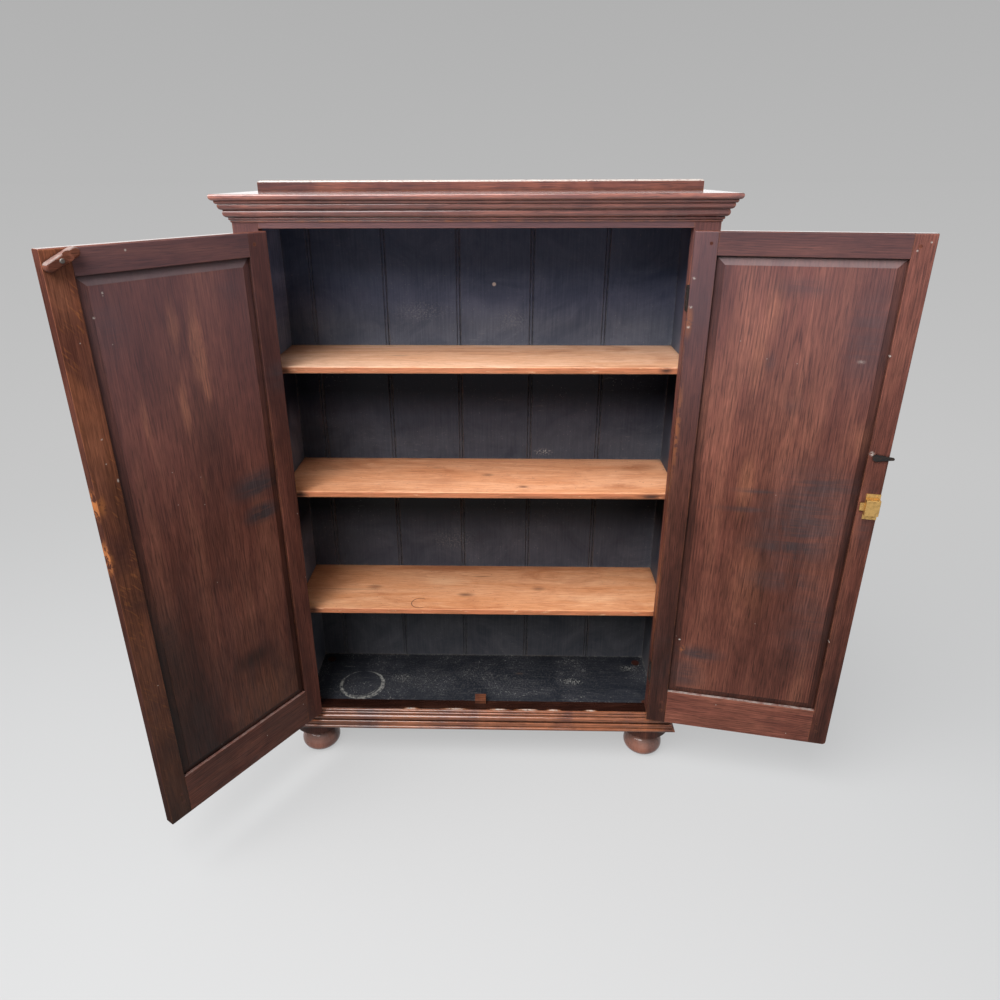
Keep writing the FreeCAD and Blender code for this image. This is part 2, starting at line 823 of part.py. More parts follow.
def bolt_bar(fit):
    """The sliding bolt, or with a fit the channel that it runs in."""
    y0 = door_inside + bolt_clearance
    tail = bolt_tail + (overrun if fit else 0)
    nose = overrun if fit else -bolt_setback
    half = bolt_height / 2 + fit
    return block(door_x(RIGHT, door_width - lock_width - tail), door_x(RIGHT, door_width + nose),
                 y0 - fit, y0 + bolt_thickness + fit, lock_middle() - half, lock_middle() + half)


def lock_case():
    """A plate let into the stile and a shorter box on it, with the bolt's channel through them."""
    crown = door_inside + lock_box_rise
    box = block(door_x(RIGHT, door_width - lock_width), door_x(RIGHT, door_width), door_inside, crown,
                lock_middle() - lock_box_height / 2, lock_middle() + lock_box_height / 2)
    rim = edges_at(box, lambda box: same(box.YMin, crown))
    box = box.makeFillet(lock_edge_radius, rim)
    case = lock_plate(0).fuse(box).removeSplitter().cut(bolt_bar(sliding_fit))
    x = door_x(RIGHT, door_width - lock_width / 2)
    key_pin = Vector(x, door_inside - lock_recess - overrun, lock_middle() - bolt_height)
    return case.cut(rod(key_pin_radius, key_pin, INWARD, overrun + lock_recess))


def escutcheon():
    """An oval plate round the keyhole on the outside of the door."""
    x = door_x(RIGHT, door_width - lock_width / 2)
    z = lock_middle() - bolt_height - keyhole_drop / 2
    straight = (escutcheon_height - escutcheon_width) / 2
    y0 = front - escutcheon_thickness
    plate = block(x - escutcheon_width / 2, x + escutcheon_width / 2, y0, front,
                  z - straight, z + straight)
    ends = [rod(escutcheon_width / 2, Vector(x, y0, z + way * straight), INWARD, escutcheon_thickness)
            for way in (-1, 1)]
    return plate.fuse(ends).removeSplitter().cut(keyhole(overrun))


# Latch

def latch_pivot():
    level = lock_middle() + lock_height / 2 + latch_rise
    panel_edge = door_width - right_meeting_stile_width + panel_tongue_length
    return Vector(door_x(RIGHT, panel_edge + latch_panel_gap + latch_spindle_radius), front, level)


def latch_bore():
    return rod(latch_spindle_radius + running_fit, latch_pivot() - INWARD * overrun, INWARD,
               door_thickness + 2 * overrun)


def latch_tongue():
    """A tapered iron tongue on the inside end of the spindle, reaching past the door's edge."""
    pivot = latch_pivot()
    y0 = door_inside + bolt_clearance
    root = tongue_root_width / 2
    tip = tongue_tip_width / 2
    reach = tongue_length - tip
    rows = [(0, -root, 0), (reach, -tip, 0), (reach, tip, 0.5), (0, root, 0)]
    rows = [(a, b, -bend) for a, b, bend in rows]
    face = outline_face(rows, lambda a, b: Vector(pivot.x - a, y0, pivot.z + b))
    tongue = face.extrude(INWARD * tongue_thickness)
    boss = rod(root, Vector(pivot.x, y0, pivot.z), INWARD, tongue_thickness)
    return tongue.fuse(boss).removeSplitter().cut(spindle(running_fit))


def spindle(fit):
    """The turned spindle from inside the knob's neck through the stile to the face of the tongue."""
    root = moving_gap + latch_spindle_radius
    length = root + door_thickness + bolt_clearance + tongue_thickness
    return rod(latch_spindle_radius + fit, latch_pivot() - INWARD * root, INWARD, length + fit)


def latch_knob():
    base = latch_pivot() + OUTWARD * moving_gap
    rows = [(0, 0, 0)]
    rows += [(r * latch_knob_radius, h * latch_knob_length, -bend) for r, h, bend in knob_shares]
    face = outline_face(rows, lambda r, h: base + Vector(r, -h, 0))
    return turned(face, base, OUTWARD).fuse(spindle(0)).removeSplitter()


def build_carcase():
    for side, label in ((LEFT, "left"), (RIGHT, "right")):
        parts["side_" + label] = side_board(side)
        parts["frame_stile_" + label] = frame_stile(side)
        parts["shelf_bearers_" + label] = shelf_bearers(side)
        for depth_side, place in ((LEFT, "front"), (RIGHT, "back")):
            parts[f"foot_{place}_{label}"] = bun_foot(side, depth_side)
    bottom_rail = frame_rail(foot_height, bottom_rail_height, bottom_rail_depth)
    parts["frame_bottom_rail"] = bore_for_spigots(bottom_rail)
    parts["frame_head_rail"] = frame_rail(head_level, head_rail_height, head_rail_depth)
    parts["floor_board"] = floor_board()
    parts["corner_blocks"] = corner_blocks()
    parts["top_board"] = top_board()
    parts["top_upstand"] = upstand()
    parts["door_stop_block"] = stop_block()
    for name, rise in (("lower", lower_shelf_rise), ("middle", middle_shelf_rise),
                       ("upper", upper_shelf_rise)):
        parts["shelf_" + name] = shelf(rise)
    mouldings("cornice", cornice_shares, cornice_projection, cornice_height,
              top_underside - cornice_height)
    mouldings("base_moulding", base_shares, base_projection, bottom_rail_height, foot_height)
    back_boards()


def build_doors():
    for side, label in ((LEFT, "left_door"), (RIGHT, "right_door")):
        door_frame_parts(side, label)
        hinges(side, label)
    parts["turn_button"] = swing(turn_button(), LEFT)
    parts["turn_button_screw"] = swing(button_screw(), LEFT)
    parts["lock_case"] = swing(lock_case(), RIGHT)
    parts["lock_bolt"] = swing(bolt_bar(0), RIGHT)
    parts["lock_escutcheon"] = swing(escutcheon(), RIGHT)
    parts["latch_tongue"] = swing(latch_tongue(), RIGHT)
    parts["latch_knob"] = swing(latch_knob(), RIGHT)


build_carcase()
build_doors()
os.makedirs("parts", exist_ok=True)
for node, shape in parts.items():
    shape.exportStep(f"parts/{node}.step")
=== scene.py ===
"""Kas cupboard with its doors open: oak, pine, black paint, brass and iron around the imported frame."""
import json
import math

import bpy
from mathutils import Matrix, Vector

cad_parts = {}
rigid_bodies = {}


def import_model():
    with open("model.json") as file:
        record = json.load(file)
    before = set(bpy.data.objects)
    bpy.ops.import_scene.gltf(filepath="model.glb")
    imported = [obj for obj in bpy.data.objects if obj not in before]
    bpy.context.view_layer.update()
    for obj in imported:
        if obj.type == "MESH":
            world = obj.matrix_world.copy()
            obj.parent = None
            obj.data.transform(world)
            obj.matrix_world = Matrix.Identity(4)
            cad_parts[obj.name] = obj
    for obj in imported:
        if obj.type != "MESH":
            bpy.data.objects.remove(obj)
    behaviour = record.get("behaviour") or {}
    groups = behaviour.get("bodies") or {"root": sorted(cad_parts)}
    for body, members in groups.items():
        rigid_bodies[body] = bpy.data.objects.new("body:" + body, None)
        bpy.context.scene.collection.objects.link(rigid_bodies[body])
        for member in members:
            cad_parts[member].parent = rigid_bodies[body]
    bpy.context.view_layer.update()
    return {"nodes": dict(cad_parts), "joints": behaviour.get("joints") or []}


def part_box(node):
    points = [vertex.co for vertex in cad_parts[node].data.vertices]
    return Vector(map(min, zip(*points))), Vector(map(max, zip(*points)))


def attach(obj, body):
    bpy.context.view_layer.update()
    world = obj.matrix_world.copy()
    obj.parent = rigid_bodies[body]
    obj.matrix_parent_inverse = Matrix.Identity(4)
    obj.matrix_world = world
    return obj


bl_info = {
    "name": "Kas Cupboard",
    "version": (1, 0, 0),
    "blender": (4, 5, 0),
    "location": "View3D > Sidebar > Kas",
    "description": "Dresses a two-door kas cupboard in old oak, pine, black paint, brass and iron",
    "category": "Object",
}

for leftover in list(bpy.data.objects):
    bpy.data.objects.remove(leftover)
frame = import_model()
JOINTS = {joint["name"]: joint for joint in frame["joints"]}
NODES = frame["nodes"]
MM = 0.001


def colour(name, description, *rgb):
    return bpy.props.FloatVectorProperty(name=name, description=description, default=(*rgb, 1.0),
                                         size=4, subtype="COLOR", min=0.0, max=1.0)


def length(name, description, default):
    return bpy.props.FloatProperty(name=name, description=description, default=default,
                                   unit="LENGTH", subtype="DISTANCE", min=0.0)


def placing(name, description, *xyz):
    return bpy.props.FloatVectorProperty(name=name, description=description, default=xyz, subtype="XYZ",
                                         unit="LENGTH")


def number(name, description, default, **limits):
    return bpy.props.FloatProperty(name=name, description=description, default=default, **limits)


class KasColours(bpy.types.PropertyGroup):
    """Colours of the finishes, as the light shows them at a plain level"""
    oak_dark: colour("Oak, dark", "Stained oak in its darkest grain", 0.058, 0.0170, 0.0115)
    oak_middle: colour("Oak, middle", "Stained oak between the grain lines", 0.150, 0.0490, 0.0335)
    oak_light: colour("Oak, light", "Stained oak where the finish is thin", 0.255, 0.0930, 0.0590)
    oak_bare: colour("Oak, bare", "Oak rubbed through to orange wood", 0.430, 0.150, 0.050)
    oak_faded: colour("Oak, faded", "Oak bleached in streaks", 0.340, 0.130, 0.072)
    # Painted sheen: a grey reflection of the sky painted into the oak high up, on the doors, frame and
    # cornice.
    painted_sheen: colour("Bloom", "Faded grey film high on the doors", 0.165, 0.108, 0.126)
    fleck: colour("Fleck", "Pale paint flecks", 0.620, 0.560, 0.500)
    # Dark wax and dust, also laid on the oak as painted shade in corners and grooves.
    grime_and_shade: colour("Grime", "Dark wax and dust in the corners", 0.016, 0.008, 0.006)
    stain: colour("Stain", "Blue-black damp stain on the panels", 0.056, 0.038, 0.039)
    pine_pale: colour("Pine, pale", "Pine between its grain lines", 0.800, 0.490, 0.290)
    pine_middle: colour("Pine, middle", "Aged pine, most of a shelf", 0.660, 0.325, 0.155)
    pine_ruddy: colour("Pine, ruddy", "Resinous late wood of the pine", 0.360, 0.125, 0.050)
    pine_edge: colour("Pine, edge", "Handled front edge of a shelf", 0.580, 0.190, 0.086)
    # Knots and stains on the pine, also laid on as painted shade along the back and ends of each shelf.
    pine_mark_and_shade: colour("Pine, knot", "Knots and water stains on the pine", 0.080, 0.034, 0.022)
    # The blue cast of the black paint is partly a painted reflection of the sky.
    paint: colour("Black paint", "Thin black paint inside the carcase", 0.049, 0.057, 0.080)
    paint_worn: colour("Black paint, worn", "Scuffed and dusty black paint", 0.133, 0.137, 0.166)
    # Pale dust, also laid on as painted highlight and painted sheen on upward faces of the upstand, feet,
    # panel heads and button.
    dust: colour("Dust", "Pale dust on ledges, arrises and raw boards", 0.330, 0.285, 0.260)
    chalk: colour("Chalk", "Chalky rings and specks on the paint", 0.420, 0.410, 0.370)
    brass: colour("Brass", "Rubbed brass of the lock", 0.700, 0.430, 0.150)
    brass_dull: colour("Brass, dull", "Tarnish on the brass", 0.240, 0.145, 0.055)
    iron: colour("Iron", "Blackened iron of the latch and hinges", 0.022, 0.021, 0.021)
    rust: colour("Rust", "Brown bloom on the iron", 0.085, 0.042, 0.024)
    steel: colour("Steel", "Worn steel of the screws", 0.180, 0.165, 0.150)
    raw_wood: colour("Raw wood", "Bare wood where the black paint has gone", 0.150, 0.080, 0.042)
    floor: colour("Floor", "Studio floor as it lights the cupboard", 0.220, 0.220, 0.220)
    floor_lit: colour("Floor, lit", "Studio floor as the camera sees it lit", 0.480, 0.480, 0.480)
    floor_near: colour("Floor, near", "Studio floor in front of the cupboard", 0.780, 0.780, 0.780)
    floor_middle: colour("Floor, middle", "Studio floor behind the cupboard", 0.580, 0.580, 0.580)
    backdrop_low: colour("Backdrop, low", "Floor and backdrop at the horizon", 0.480, 0.480, 0.480)
    backdrop_high: colour("Backdrop, high", "Backdrop above the cupboard", 0.440, 0.440, 0.440)
    sky_low: colour("Light, low", "Studio light near the horizon", 0.180, 0.180, 0.180)
    sky_rim: colour("Light, rim", "Studio light low behind the cupboard", 1.000, 1.000, 1.000)
    sky_high: colour("Light, high", "Studio light overhead", 0.860, 0.930, 1.000)


class KasSizes(bpy.types.PropertyGroup):
    """Sizes of the small pieces, the lamp and the camera"""
    leaf_screw: length("Hinge screw", "Radius of a hinge screw's head", 2.6 * MM)
    leaf_proud: length("Hinge screw stand", "How far a hinge screw stands out of its leaf", 0.08 * MM)
    leaf_margin: length("Hinge screw margin", "From a leaf's inner edge to its screws", 8.0 * MM)
    leaf_half: length("Half leaf", "From a leaf's end to its middle screw", 25.0 * MM)
    leaf_pitch: length("Hinge screw pitch", "Between the screws of a leaf", 16.0 * MM)
    lock_plate: length("Lock plate", "From the lock's bed to the face of its plate", 5.5 * MM)
    lock_margin: length("Lock screw margin", "From the plate's side to its screws", 6.5 * MM)
    lock_flange: length("Lock screw level", "From the plate's end to its screws", 6.0 * MM)
    lock_screw: length("Lock screw", "Radius of a lock screw's head", 2.5 * MM)
    lock_proud: length("Lock screw stand", "How far a lock screw stands out", 1.0 * MM)
    plate_pin: length("Plate pin", "Radius of a pin's head on the keyhole plate", 1.3 * MM)
    pin_margin: length("Plate pin margin", "From the plate's end to its pin", 3.2 * MM)
    smooth_angle: number("Smooth angle", "Edges of a head under this angle are shaded smooth",
                         math.radians(35.0), subtype="ANGLE")
    floor_width: length("Floor width", "Side of the square studio floor", 240.0)
    key_width: length("Key lamp width", "Side of the large soft lamp in front", 3.8)
    key_power: number("Key lamp power", "Power of the front lamp", 405.0, unit="POWER", min=0.0)
    key_place: placing("Key lamp", "Place of the front lamp", -1.6, -2.3, 4.2)
    key_aim: placing("Key lamp aim", "Where the front lamp points", 0.0, 0.0, 0.75)
    sky_strength: number("Sky strength", "Level of the soft light all round", 0.55, min=0.0, max=2.0)
    rim_strength: number("Rim strength", "More light low behind the cupboard", 0.55, min=0.0, max=2.0)
    lens: number("Lens", "Focal length of the camera in millimetres", 25.94, unit="CAMERA", min=1.0)
    sensor: number("Sensor", "Width of the camera's sensor in millimetres", 36.0, unit="CAMERA", min=1.0)
    sight: length("Sight", "How far the camera sees", 500.0)
    shift_x: number("Shift x", "Sideways shift of the lens", 0.0100)
    shift_y: number("Shift y", "Upward shift of the lens", -0.0278)
    camera_place: placing("Camera", "Place of the camera", 0.0686, -1.7018, 1.5124)
    camera_turn: bpy.props.FloatVectorProperty(name="Camera angles", description="Yaw, pitch and roll",
                                               default=(-0.0250, -0.3948, -0.0037), subtype="EULER",
                                               unit="ROTATION")


def colours():
    return bpy.context.scene.kas_colours


def sizes():
    return bpy.context.scene.kas_sizes


# Places

def door_place(joint_name):
    """Pin and turn of a door's own frame: x runs from the pin across the shut door, z is up."""
    joint = JOINTS[joint_name]
    shut = math.radians(joint["range_deg"][0])
    return Vector((joint["pos_m"][0], joint["pos_m"][1], 0.0)), -shut * joint["axis"][2]


def top_of(node):
    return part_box(node)[1][2]


def front_of(node):
    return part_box(node)[0][1]


LEFT_DOOR = door_place("left_door_hinge")
RIGHT_DOOR = door_place("right_door_hinge")
CARCASE = (Vector((0.0, 0.0, 0.0)), 0.0)

# Depth and reach of the marks on a door, in its own frame: both faces are well inside.
DOOR_MARK_DEPTH = 0.02
DOOR_MARK_REACH = 0.1


def level_marks(level, reach, *rows):
    """Marks on a level face from rows of x, y, half width, half depth and strength."""
    return [((x, y, level), (wide, deep, reach), strength) for x, y, wide, deep, strength in rows]


def upright_marks(depth, reach, *rows):
    """Marks on an upright face from rows of x, z, half width, half height and strength."""
    return [((x, depth, z), (wide, reach, tall), strength) for x, z, wide, tall, strength in rows]


def left_marks(*rows):
    """Marks on the left door from rows of distance from the pin, z, half width, half height and strength."""
    return upright_marks(DOOR_MARK_DEPTH, DOOR_MARK_REACH, *rows)


def right_marks(*rows):
    """Marks on the right door, where x runs back towards the pin."""
    return left_marks(*[(-away, *rest) for away, *rest in rows])


# Shader building blocks

class Value:
    """An output in a node tree, as a value or a vector that others are made from."""

    def __init__(self, tree, socket):
        self.tree = tree
        self.socket = socket

    def __add__(self, other):
        return sums("ADD", self, other)

    def __sub__(self, other):
        return sums("SUBTRACT", self, other)

    def __mul__(self, other):
        return sums("MULTIPLY", self, other)

    def __truediv__(self, other):
        return sums("DIVIDE", self, other)

    def beside(self, output):
        """Another output of the same node."""
        return Value(self.tree, self.socket.node.outputs[output])

    def part(self, axis):
        return add(self.tree, "SeparateXYZ", axis, {0: self})

    def fade(self, low, high, to_low=0.0, to_high=1.0, kind="SMOOTHSTEP"):
        ends = {"From Min": low, "From Max": high, "To Min": to_low, "To Max": to_high}
        return add(self.tree, "MapRange", 0, {"Value": self, **ends}, interpolation_type=kind)

    def stretch(self, scale=(1, 1, 1), shift=(0, 0, 0), turn=(0, 0, 0)):
        moves = {"Scale": scale, "Location": shift, "Rotation": turn}
        return add(self.tree, "Mapping", 0, {"Vector": self, **moves})

    def noise(self, scale, detail=2.0, roughness=0.5, distortion=0.0, **moved):
        """Noise at one scale, or drawn out by a scale along each axis."""
        if not isinstance(scale, float):
            return self.stretch(scale, **moved).noise(1.0, detail, roughness, distortion)
        return add(self.tree, "TexNoise", "Fac", {"Vector": self, "Scale": scale, "Detail": detail,
                                                  "Roughness": roughness, "Distortion": distortion})

    def ramp(self, *stops):
        """A colour ramp through stops of position and colour."""
        shade = add(self.tree, "ValToRGB", "Color", {"Fac": self})
        elements = shade.socket.node.color_ramp.elements
        for _ in stops[2:]:
            elements.new(0.5)
        for element, (position, tint) in zip(elements, stops):
            element.position = position
            element.color = tint
        return shade

    def spot(self, centre, radii, soft):
        """A soft ellipsoid mask: 1 inside, fading to 0 at its rim."""
        moved = add(self.tree, "Mapping", 0, {"Vector": self, "Location": centre, "Scale": radii},
                    vector_type="TEXTURE")
        return measure("LENGTH", moved).fade(1.0, 1.0 - soft)


def add(tree, kind, output, inputs=(), **settings):
    """An output of a new node. Its inputs take plain values or other nodes' outputs."""
    made = tree.nodes.new("ShaderNode" + kind)
    for name, value in settings.items():
        setattr(made, name, value)
    for key, value in dict(inputs).items():
        give(made.inputs[key], value)
    return Value(tree, made.outputs[output])


def give(socket, value):
    if isinstance(value, Value):
        value.tree.links.new(value.socket, socket)
    else:
        socket.default_value = value


def tree_of(values):
    return next(value.tree for value in values if isinstance(value, Value))


def sums(operation, *values):
    return add(tree_of(values), "Math", 0, dict(enumerate(values)), operation=operation)


def measure(operation, *vectors):
    return add(tree_of(vectors), "VectorMath", "Value", dict(enumerate(vectors)), operation=operation)


def blend(factor, first, second, kind="MIX"):
    values = {0: factor, 6: first, 7: second}
    return add(tree_of(values.values()), "Mix", 2, values, data_type="RGBA", blend_type=kind)


def along(axis, across_scale, along_scale):
    """Scale that draws a pattern out along the grain."""
    scale = [across_scale] * 3
    scale["xyz".index(axis)] = along_scale
    return scale


class Finish:
    """A procedural material in the making: its coordinates, its shader and the shade laid on so far."""

    def __init__(self, name, body=CARCASE, shift=(0, 0, 0)):
        """Inner coordinates are a body's own. A shift of them gives each board its own grain."""
        self.made = bpy.data.materials.new(name)
        self.made.use_nodes = True
        self.tree = self.made.node_tree
        self.tree.nodes.clear()
        self.shader = add(self.tree, "BsdfPrincipled", 0)
        self.surface = self.shader
        self.shade = None
        pin, turn = body
        self.coords = add(self.tree, "TexCoord", "Object")
        moves = {"Location": pin, "Rotation": (0, 0, turn)}
        self.inner = add(self.tree, "Mapping", 0, {"Vector": self.coords, **moves}, vector_type="TEXTURE")
        self.board = self.inner.stretch(shift=shift)

    def over(self, mask, tint, kind="MIX"):
        """Lay a colour over the shade where a mask says so."""
        self.shade = blend(mask, self.shade, tint, kind)

    def patches(self, tint, rough, marks):
        """Lay on soft patches of centre, radii and strength, broken up by a rough mask."""
        total = 0.0
        for centre, radii, strength in marks:
            total = sums("MAXIMUM", total, self.inner.spot(centre, radii, 0.95) * strength)
        self.over(total * rough, tint)

    def corners(self, distance, **settings):
        """Openness of a face: 1 where it is open, less in corners."""
        return add(self.tree, "AmbientOcclusion", "AO", {"Distance": distance}, samples=4, **settings)

    def arrises(self, distance):
        """Openness from inside a piece: 1 on broad faces, less along sharp edges."""
        return self.corners(distance, inside=True, only_local=True)

    def relief(self, height, strength, distance):
        return add(self.tree, "Bump", 0, {"Height": height, "Strength": strength, "Distance": distance})

    def done(self, **sockets):
        """The material, its shade in the shader's base colour and the other sockets set."""
        for name, value in dict(sockets, Base_Color=self.shade).items():
            give(self.shader.socket.node.inputs[name.replace("_", " ")], value)
        output = self.tree.nodes.new("ShaderNodeOutputMaterial")
        give(output.inputs["Surface"], self.surface)
        return self.made


# Finishes

def specks(vector, scale, size, share):
    """Small round flecks: one cell in so many carries a dot of about the given size."""
    cells = add(vector.tree, "TexVoronoi", "Distance", {"Vector": vector, "Scale": scale},
                voronoi_dimensions="2D")
    draw = add(vector.tree, "SeparateColor", 0, {0: cells.beside("Color")})
    return cells.fade(size * scale, size * scale * 0.4) * sums("LESS_THAN", draw, share)


def arc_mask(vector, centre, radius, width, gap):
    """A thin ring on a level face, left open towards one side."""
    moved = add(vector.tree, "VectorMath", 0, {0: vector, 1: centre}, operation="SUBTRACT")
    off = sums("ABSOLUTE", measure("LENGTH", moved.stretch((1, 1, 0))) - radius)
    side = measure("DOT_PRODUCT", moved, gap)
    return off.fade(width, width * 0.3) * side.fade(radius * 0.6, radius * 0.2)


GRAIN_TURNS = {"z": (0, 0, 0), "x": (0, math.pi / 2, 0), "y": (math.pi / 2, 0, 0)}


def growth(grain, heart, depth, period):
    """Growth rings round a heart beside and behind a board: 1 in the open early wood, 0 late in a year."""
    reach = measure("LENGTH", grain.stretch((1, 1, 0), (-heart, -depth, 0)))
    wander = grain.noise((6, 6, 1.5), 3.0, 0.5)
    year = sums("FRACT", (reach + grain.part("Z") * 0.022 + wander * 0.040) / period)
    return year.fade(0.0, 0.12) * year.fade(0.60, 0.12)


def oak(name, body=CARCASE, axis="z", shift=(0, 0, 0), low=1.0, high=None, painted_sheen=0.0, warmth=0.0,
        heart=0.5, depth=0.2, period=0.0045, lines=0.30, pores=0.50, rays=0.0, gloss=0.42, sheen=0.16,
        grime_and_shade=0.75, coat_weight=0.0, wear=0.4, fine=1.0, film=0.0, flecks=0.0,
        streaks=(), stains=(), dark=(), bare=(), chips=()):
    """Old stained oak: soft bands, growth rings, pores, ray flecks, smears, stains, grime and painted shade
    in corners, painted sheen high up, rubbed arrises.

    Low and high are its tone near the floor and near the top; the change from one to the other is painted
    light and shade by height. Without a high tone it is even.
    """
    tint = colours()
    wood = Finish(name, body, shift)
    inner = wood.inner
    board = wood.board
    turn = GRAIN_TURNS[axis]
    grain = board.stretch(turn=turn)
    height = inner.part("Z")
    band = grain.noise((14, 14, 1.6), 3.0, 0.55, 0.6)
    fibre = grain.noise((250, 250, 5), 4.0, 0.66, 0.2)
    hair = grain.noise((620, 620, 24), 2.0, 0.6)
    pore = grain.noise((330, 330, 22), 2.0, 0.55).fade(0.52, 0.61)
    smear = grain.noise((30, 30, 9), 6.0, 0.64, 1.2)
    blotch = inner.noise((8, 8, 5), 5.0, 0.62, 0.9)
    wood.shade = band.fade(0.24, 0.74, kind="LINEAR").ramp((0.02, tint.oak_dark), (0.50, tint.oak_middle),
                                                           (1.0, tint.oak_light))
    if rays:
        dash = inner.stretch(turn=(0, 0.95, 0)).noise((36, 36, 250), 1.5, 0.5, 0.5)
        patch = board.noise((20, 20, 11)).fade(0.42, 0.56)
        wood.over(dash.fade(0.58, 0.66) * patch * rays, tint.oak_bare)
    if warmth:
        wood.over(blotch.fade(0.30, 0.62, 0.0, warmth), tint.oak_bare)
    if streaks:
        wood.patches(tint.oak_faded, smear.fade(0.22, 0.54), streaks)
    early = growth(inner.stretch(turn=turn), heart, depth, period)
    wood.over(early * inner.noise((5, 5, 1.2)).fade(0.42, 0.60, lines * 0.25, lines), tint.oak_dark)
    open_pore = pore * sums("MULTIPLY_ADD", early, 0.5, 0.5)
    wood.over(open_pore * pores, tint.grime_and_shade)
    if stains:
        wiped = inner.noise((7, 7, 75), 4.0, 0.6, 0.6).fade(0.32, 0.60, 0.45, 1.0)
        wood.patches(tint.stain, blotch.fade(0.22, 0.50) * wiped, stains)
    if dark:
        wood.patches(tint.grime_and_shade, blotch.fade(0.20, 0.60, 0.5, 1.0), dark)
    level = blotch.fade(0.28, 0.72, 0.74, 1.26, "LINEAR")
    for pattern, start, end, swing in ((fibre, 0.30, 0.70, 0.24 * fine), (hair, 0.30, 0.70, 0.30 * fine),
                                       (smear, 0.28, 0.72, 0.07)):
        level = level * pattern.fade(start, end, 1.0 - swing, 1.0 + swing, "LINEAR")
    # Tone by height from low to high: painted light and shade.
    level = level * height.fade(0.15, 1.40, low, low if high is None else high, "LINEAR")
    wood.over(1.0, add(wood.tree, "CombineColor", 0, {0: level, 1: level, 2: level}), "MULTIPLY")
    # A grey film rising with height: painted sheen in place of the sky's reflection.
    if painted_sheen:
        wood.over(height.fade(0.75, 1.42, 0.0, painted_sheen), tint.painted_sheen)
    if film:
        wood.over(smear.fade(0.30, 0.60, film * 0.6, film), tint.dust)
    # Darker in corners and grooves: dirt, and painted shade.
    wood.over(wood.corners(0.016).fade(0.80, 0.35, 0.0, grime_and_shade), tint.grime_and_shade)
    if wear:
        rub = board.noise(30.0, 5.0, 0.68).fade(0.40, 0.70)
        wood.over(wood.arrises(0.004).fade(0.88, 0.40) * rub * wear, tint.oak_bare)
    if bare:
        wood.patches(tint.oak_bare, board.noise(75.0, 4.0, 0.65).fade(0.40, 0.52), bare)
    if chips:
        wood.patches(tint.fleck, board.noise(210.0, 3.0, 0.6).fade(0.36, 0.50), chips)
    if flecks:
        wood.over(specks(inner.stretch(turn=(math.pi / 2, 0, 0)), 17.0, 0.0015, 0.12) * flecks, tint.fleck)
    return wood.done(Normal=wood.relief(fibre * 0.5 - open_pore * 0.7, 0.25, 0.0007), Coat_Weight=coat_weight,
                     Coat_Roughness=0.12, Specular_IOR_Level=sheen,
                     Roughness=smear.fade(0.30, 0.70, gloss - 0.06, gloss + 0.14))


def pine(name, shift, tone, knots=(), stains=(), pale=(), burnt=(), ring=None, crack=None):
    """Aged pine: resinous lines, clouds, worn streaks, knots, scratches, a back darkened by dirt and painted
    shade, a chewed front.
    """
    tint = colours()
    wood = Finish(name, CARCASE, shift)
    inner = wood.inner
    board = wood.board
    lines = board.noise(along("x", 85, 6.0), 5.0, 0.70, 0.4)
    broad = board.noise(along("x", 13, 1.4), 5.0, 0.64, 1.0)
    hair = board.noise(along("x", 420, 30), 3.0, 0.65)
    grain = (lines * 0.42 + broad * 0.58).fade(0.32, 0.66, kind="LINEAR")
    wood.shade = grain.ramp((0.0, tint.pine_ruddy), (0.34, tint.pine_middle), (1.0, tint.pine_pale))
    rough = lines.fade(0.28, 0.58)
    cloud = inner.noise((6, 13, 6), 6.0, 0.68, 1.2, shift=shift)
    wood.over(cloud.fade(0.50, 0.74, 0.0, 0.5), tint.pine_ruddy)
    wood.over(board.noise((8, 70, 70), 4.0, 0.66, 0.8).fade(0.56, 0.66, 0.0, 0.6), tint.pine_pale)
    wood.over(hair.fade(0.46, 0.66, 0.0, 0.42), tint.pine_ruddy)
    wood.over(1.0, (*tone, 1.0), "MULTIPLY")
    if pale:
        wood.patches(tint.pine_pale, rough, pale)
    if stains:
        wood.patches(tint.pine_ruddy, cloud.fade(0.30, 0.56), stains)
    if knots:
        wood.patches(tint.pine_mark_and_shade, rough, knots)
    wood.over(board.noise(240.0, 2.0, 0.5).fade(0.69, 0.74) * 0.7, tint.pine_mark_and_shade)
    scratch = board.noise((16, 260, 16), 3.0, 0.6, 2.0, turn=(0, 0, 0.5))
    wood.over(scratch.fade(0.68, 0.74, 0.0, 0.45), tint.pine_pale)
    if ring:
        wood.over(arc_mask(inner, *ring, (1.0, 0.0, 0.0)) * 0.8, tint.pine_mark_and_shade)
    if crack:
        wood.over(inner.spot(*crack, 0.5) * 0.8, tint.pine_mark_and_shade)
    front = add(wood.tree, "NewGeometry", "Normal").part("Y").fade(-0.72, -0.97)
    chewed = board.noise(along("x", 120, 22), 4.0, 0.7, shift=(0.3, 0.6, 0.2))
    fuzzy = board.noise(along("x", 300, 14), 4.0, 0.66)
    edge = blend(fuzzy.fade(0.38, 0.66), tint.pine_edge, tint.pine_ruddy)
    edge = blend(chewed.fade(0.60, 0.70, 0.0, 0.6), edge, tint.pine_mark_and_shade)
    wood.over(front * 0.9, blend(chewed.fade(0.40, 0.30, 0.0, 0.7), edge, tint.pine_pale))
    if burnt:
        wood.patches(tint.pine_mark_and_shade, chewed.fade(0.34, 0.48), burnt)
    # Darker along the back and ends of the shelf: dirt, and painted shade.
    wood.over(wood.corners(0.030).fade(0.70, 0.30) * cloud.fade(0.34, 0.60, 0.25, 0.75), tint.pine_mark_and_shade)
    return wood.done(Normal=wood.relief(lines, 0.22, 0.0007), Roughness=lines.fade(0.3, 0.7, 0.52, 0.68),
                     Specular_IOR_Level=0.35)


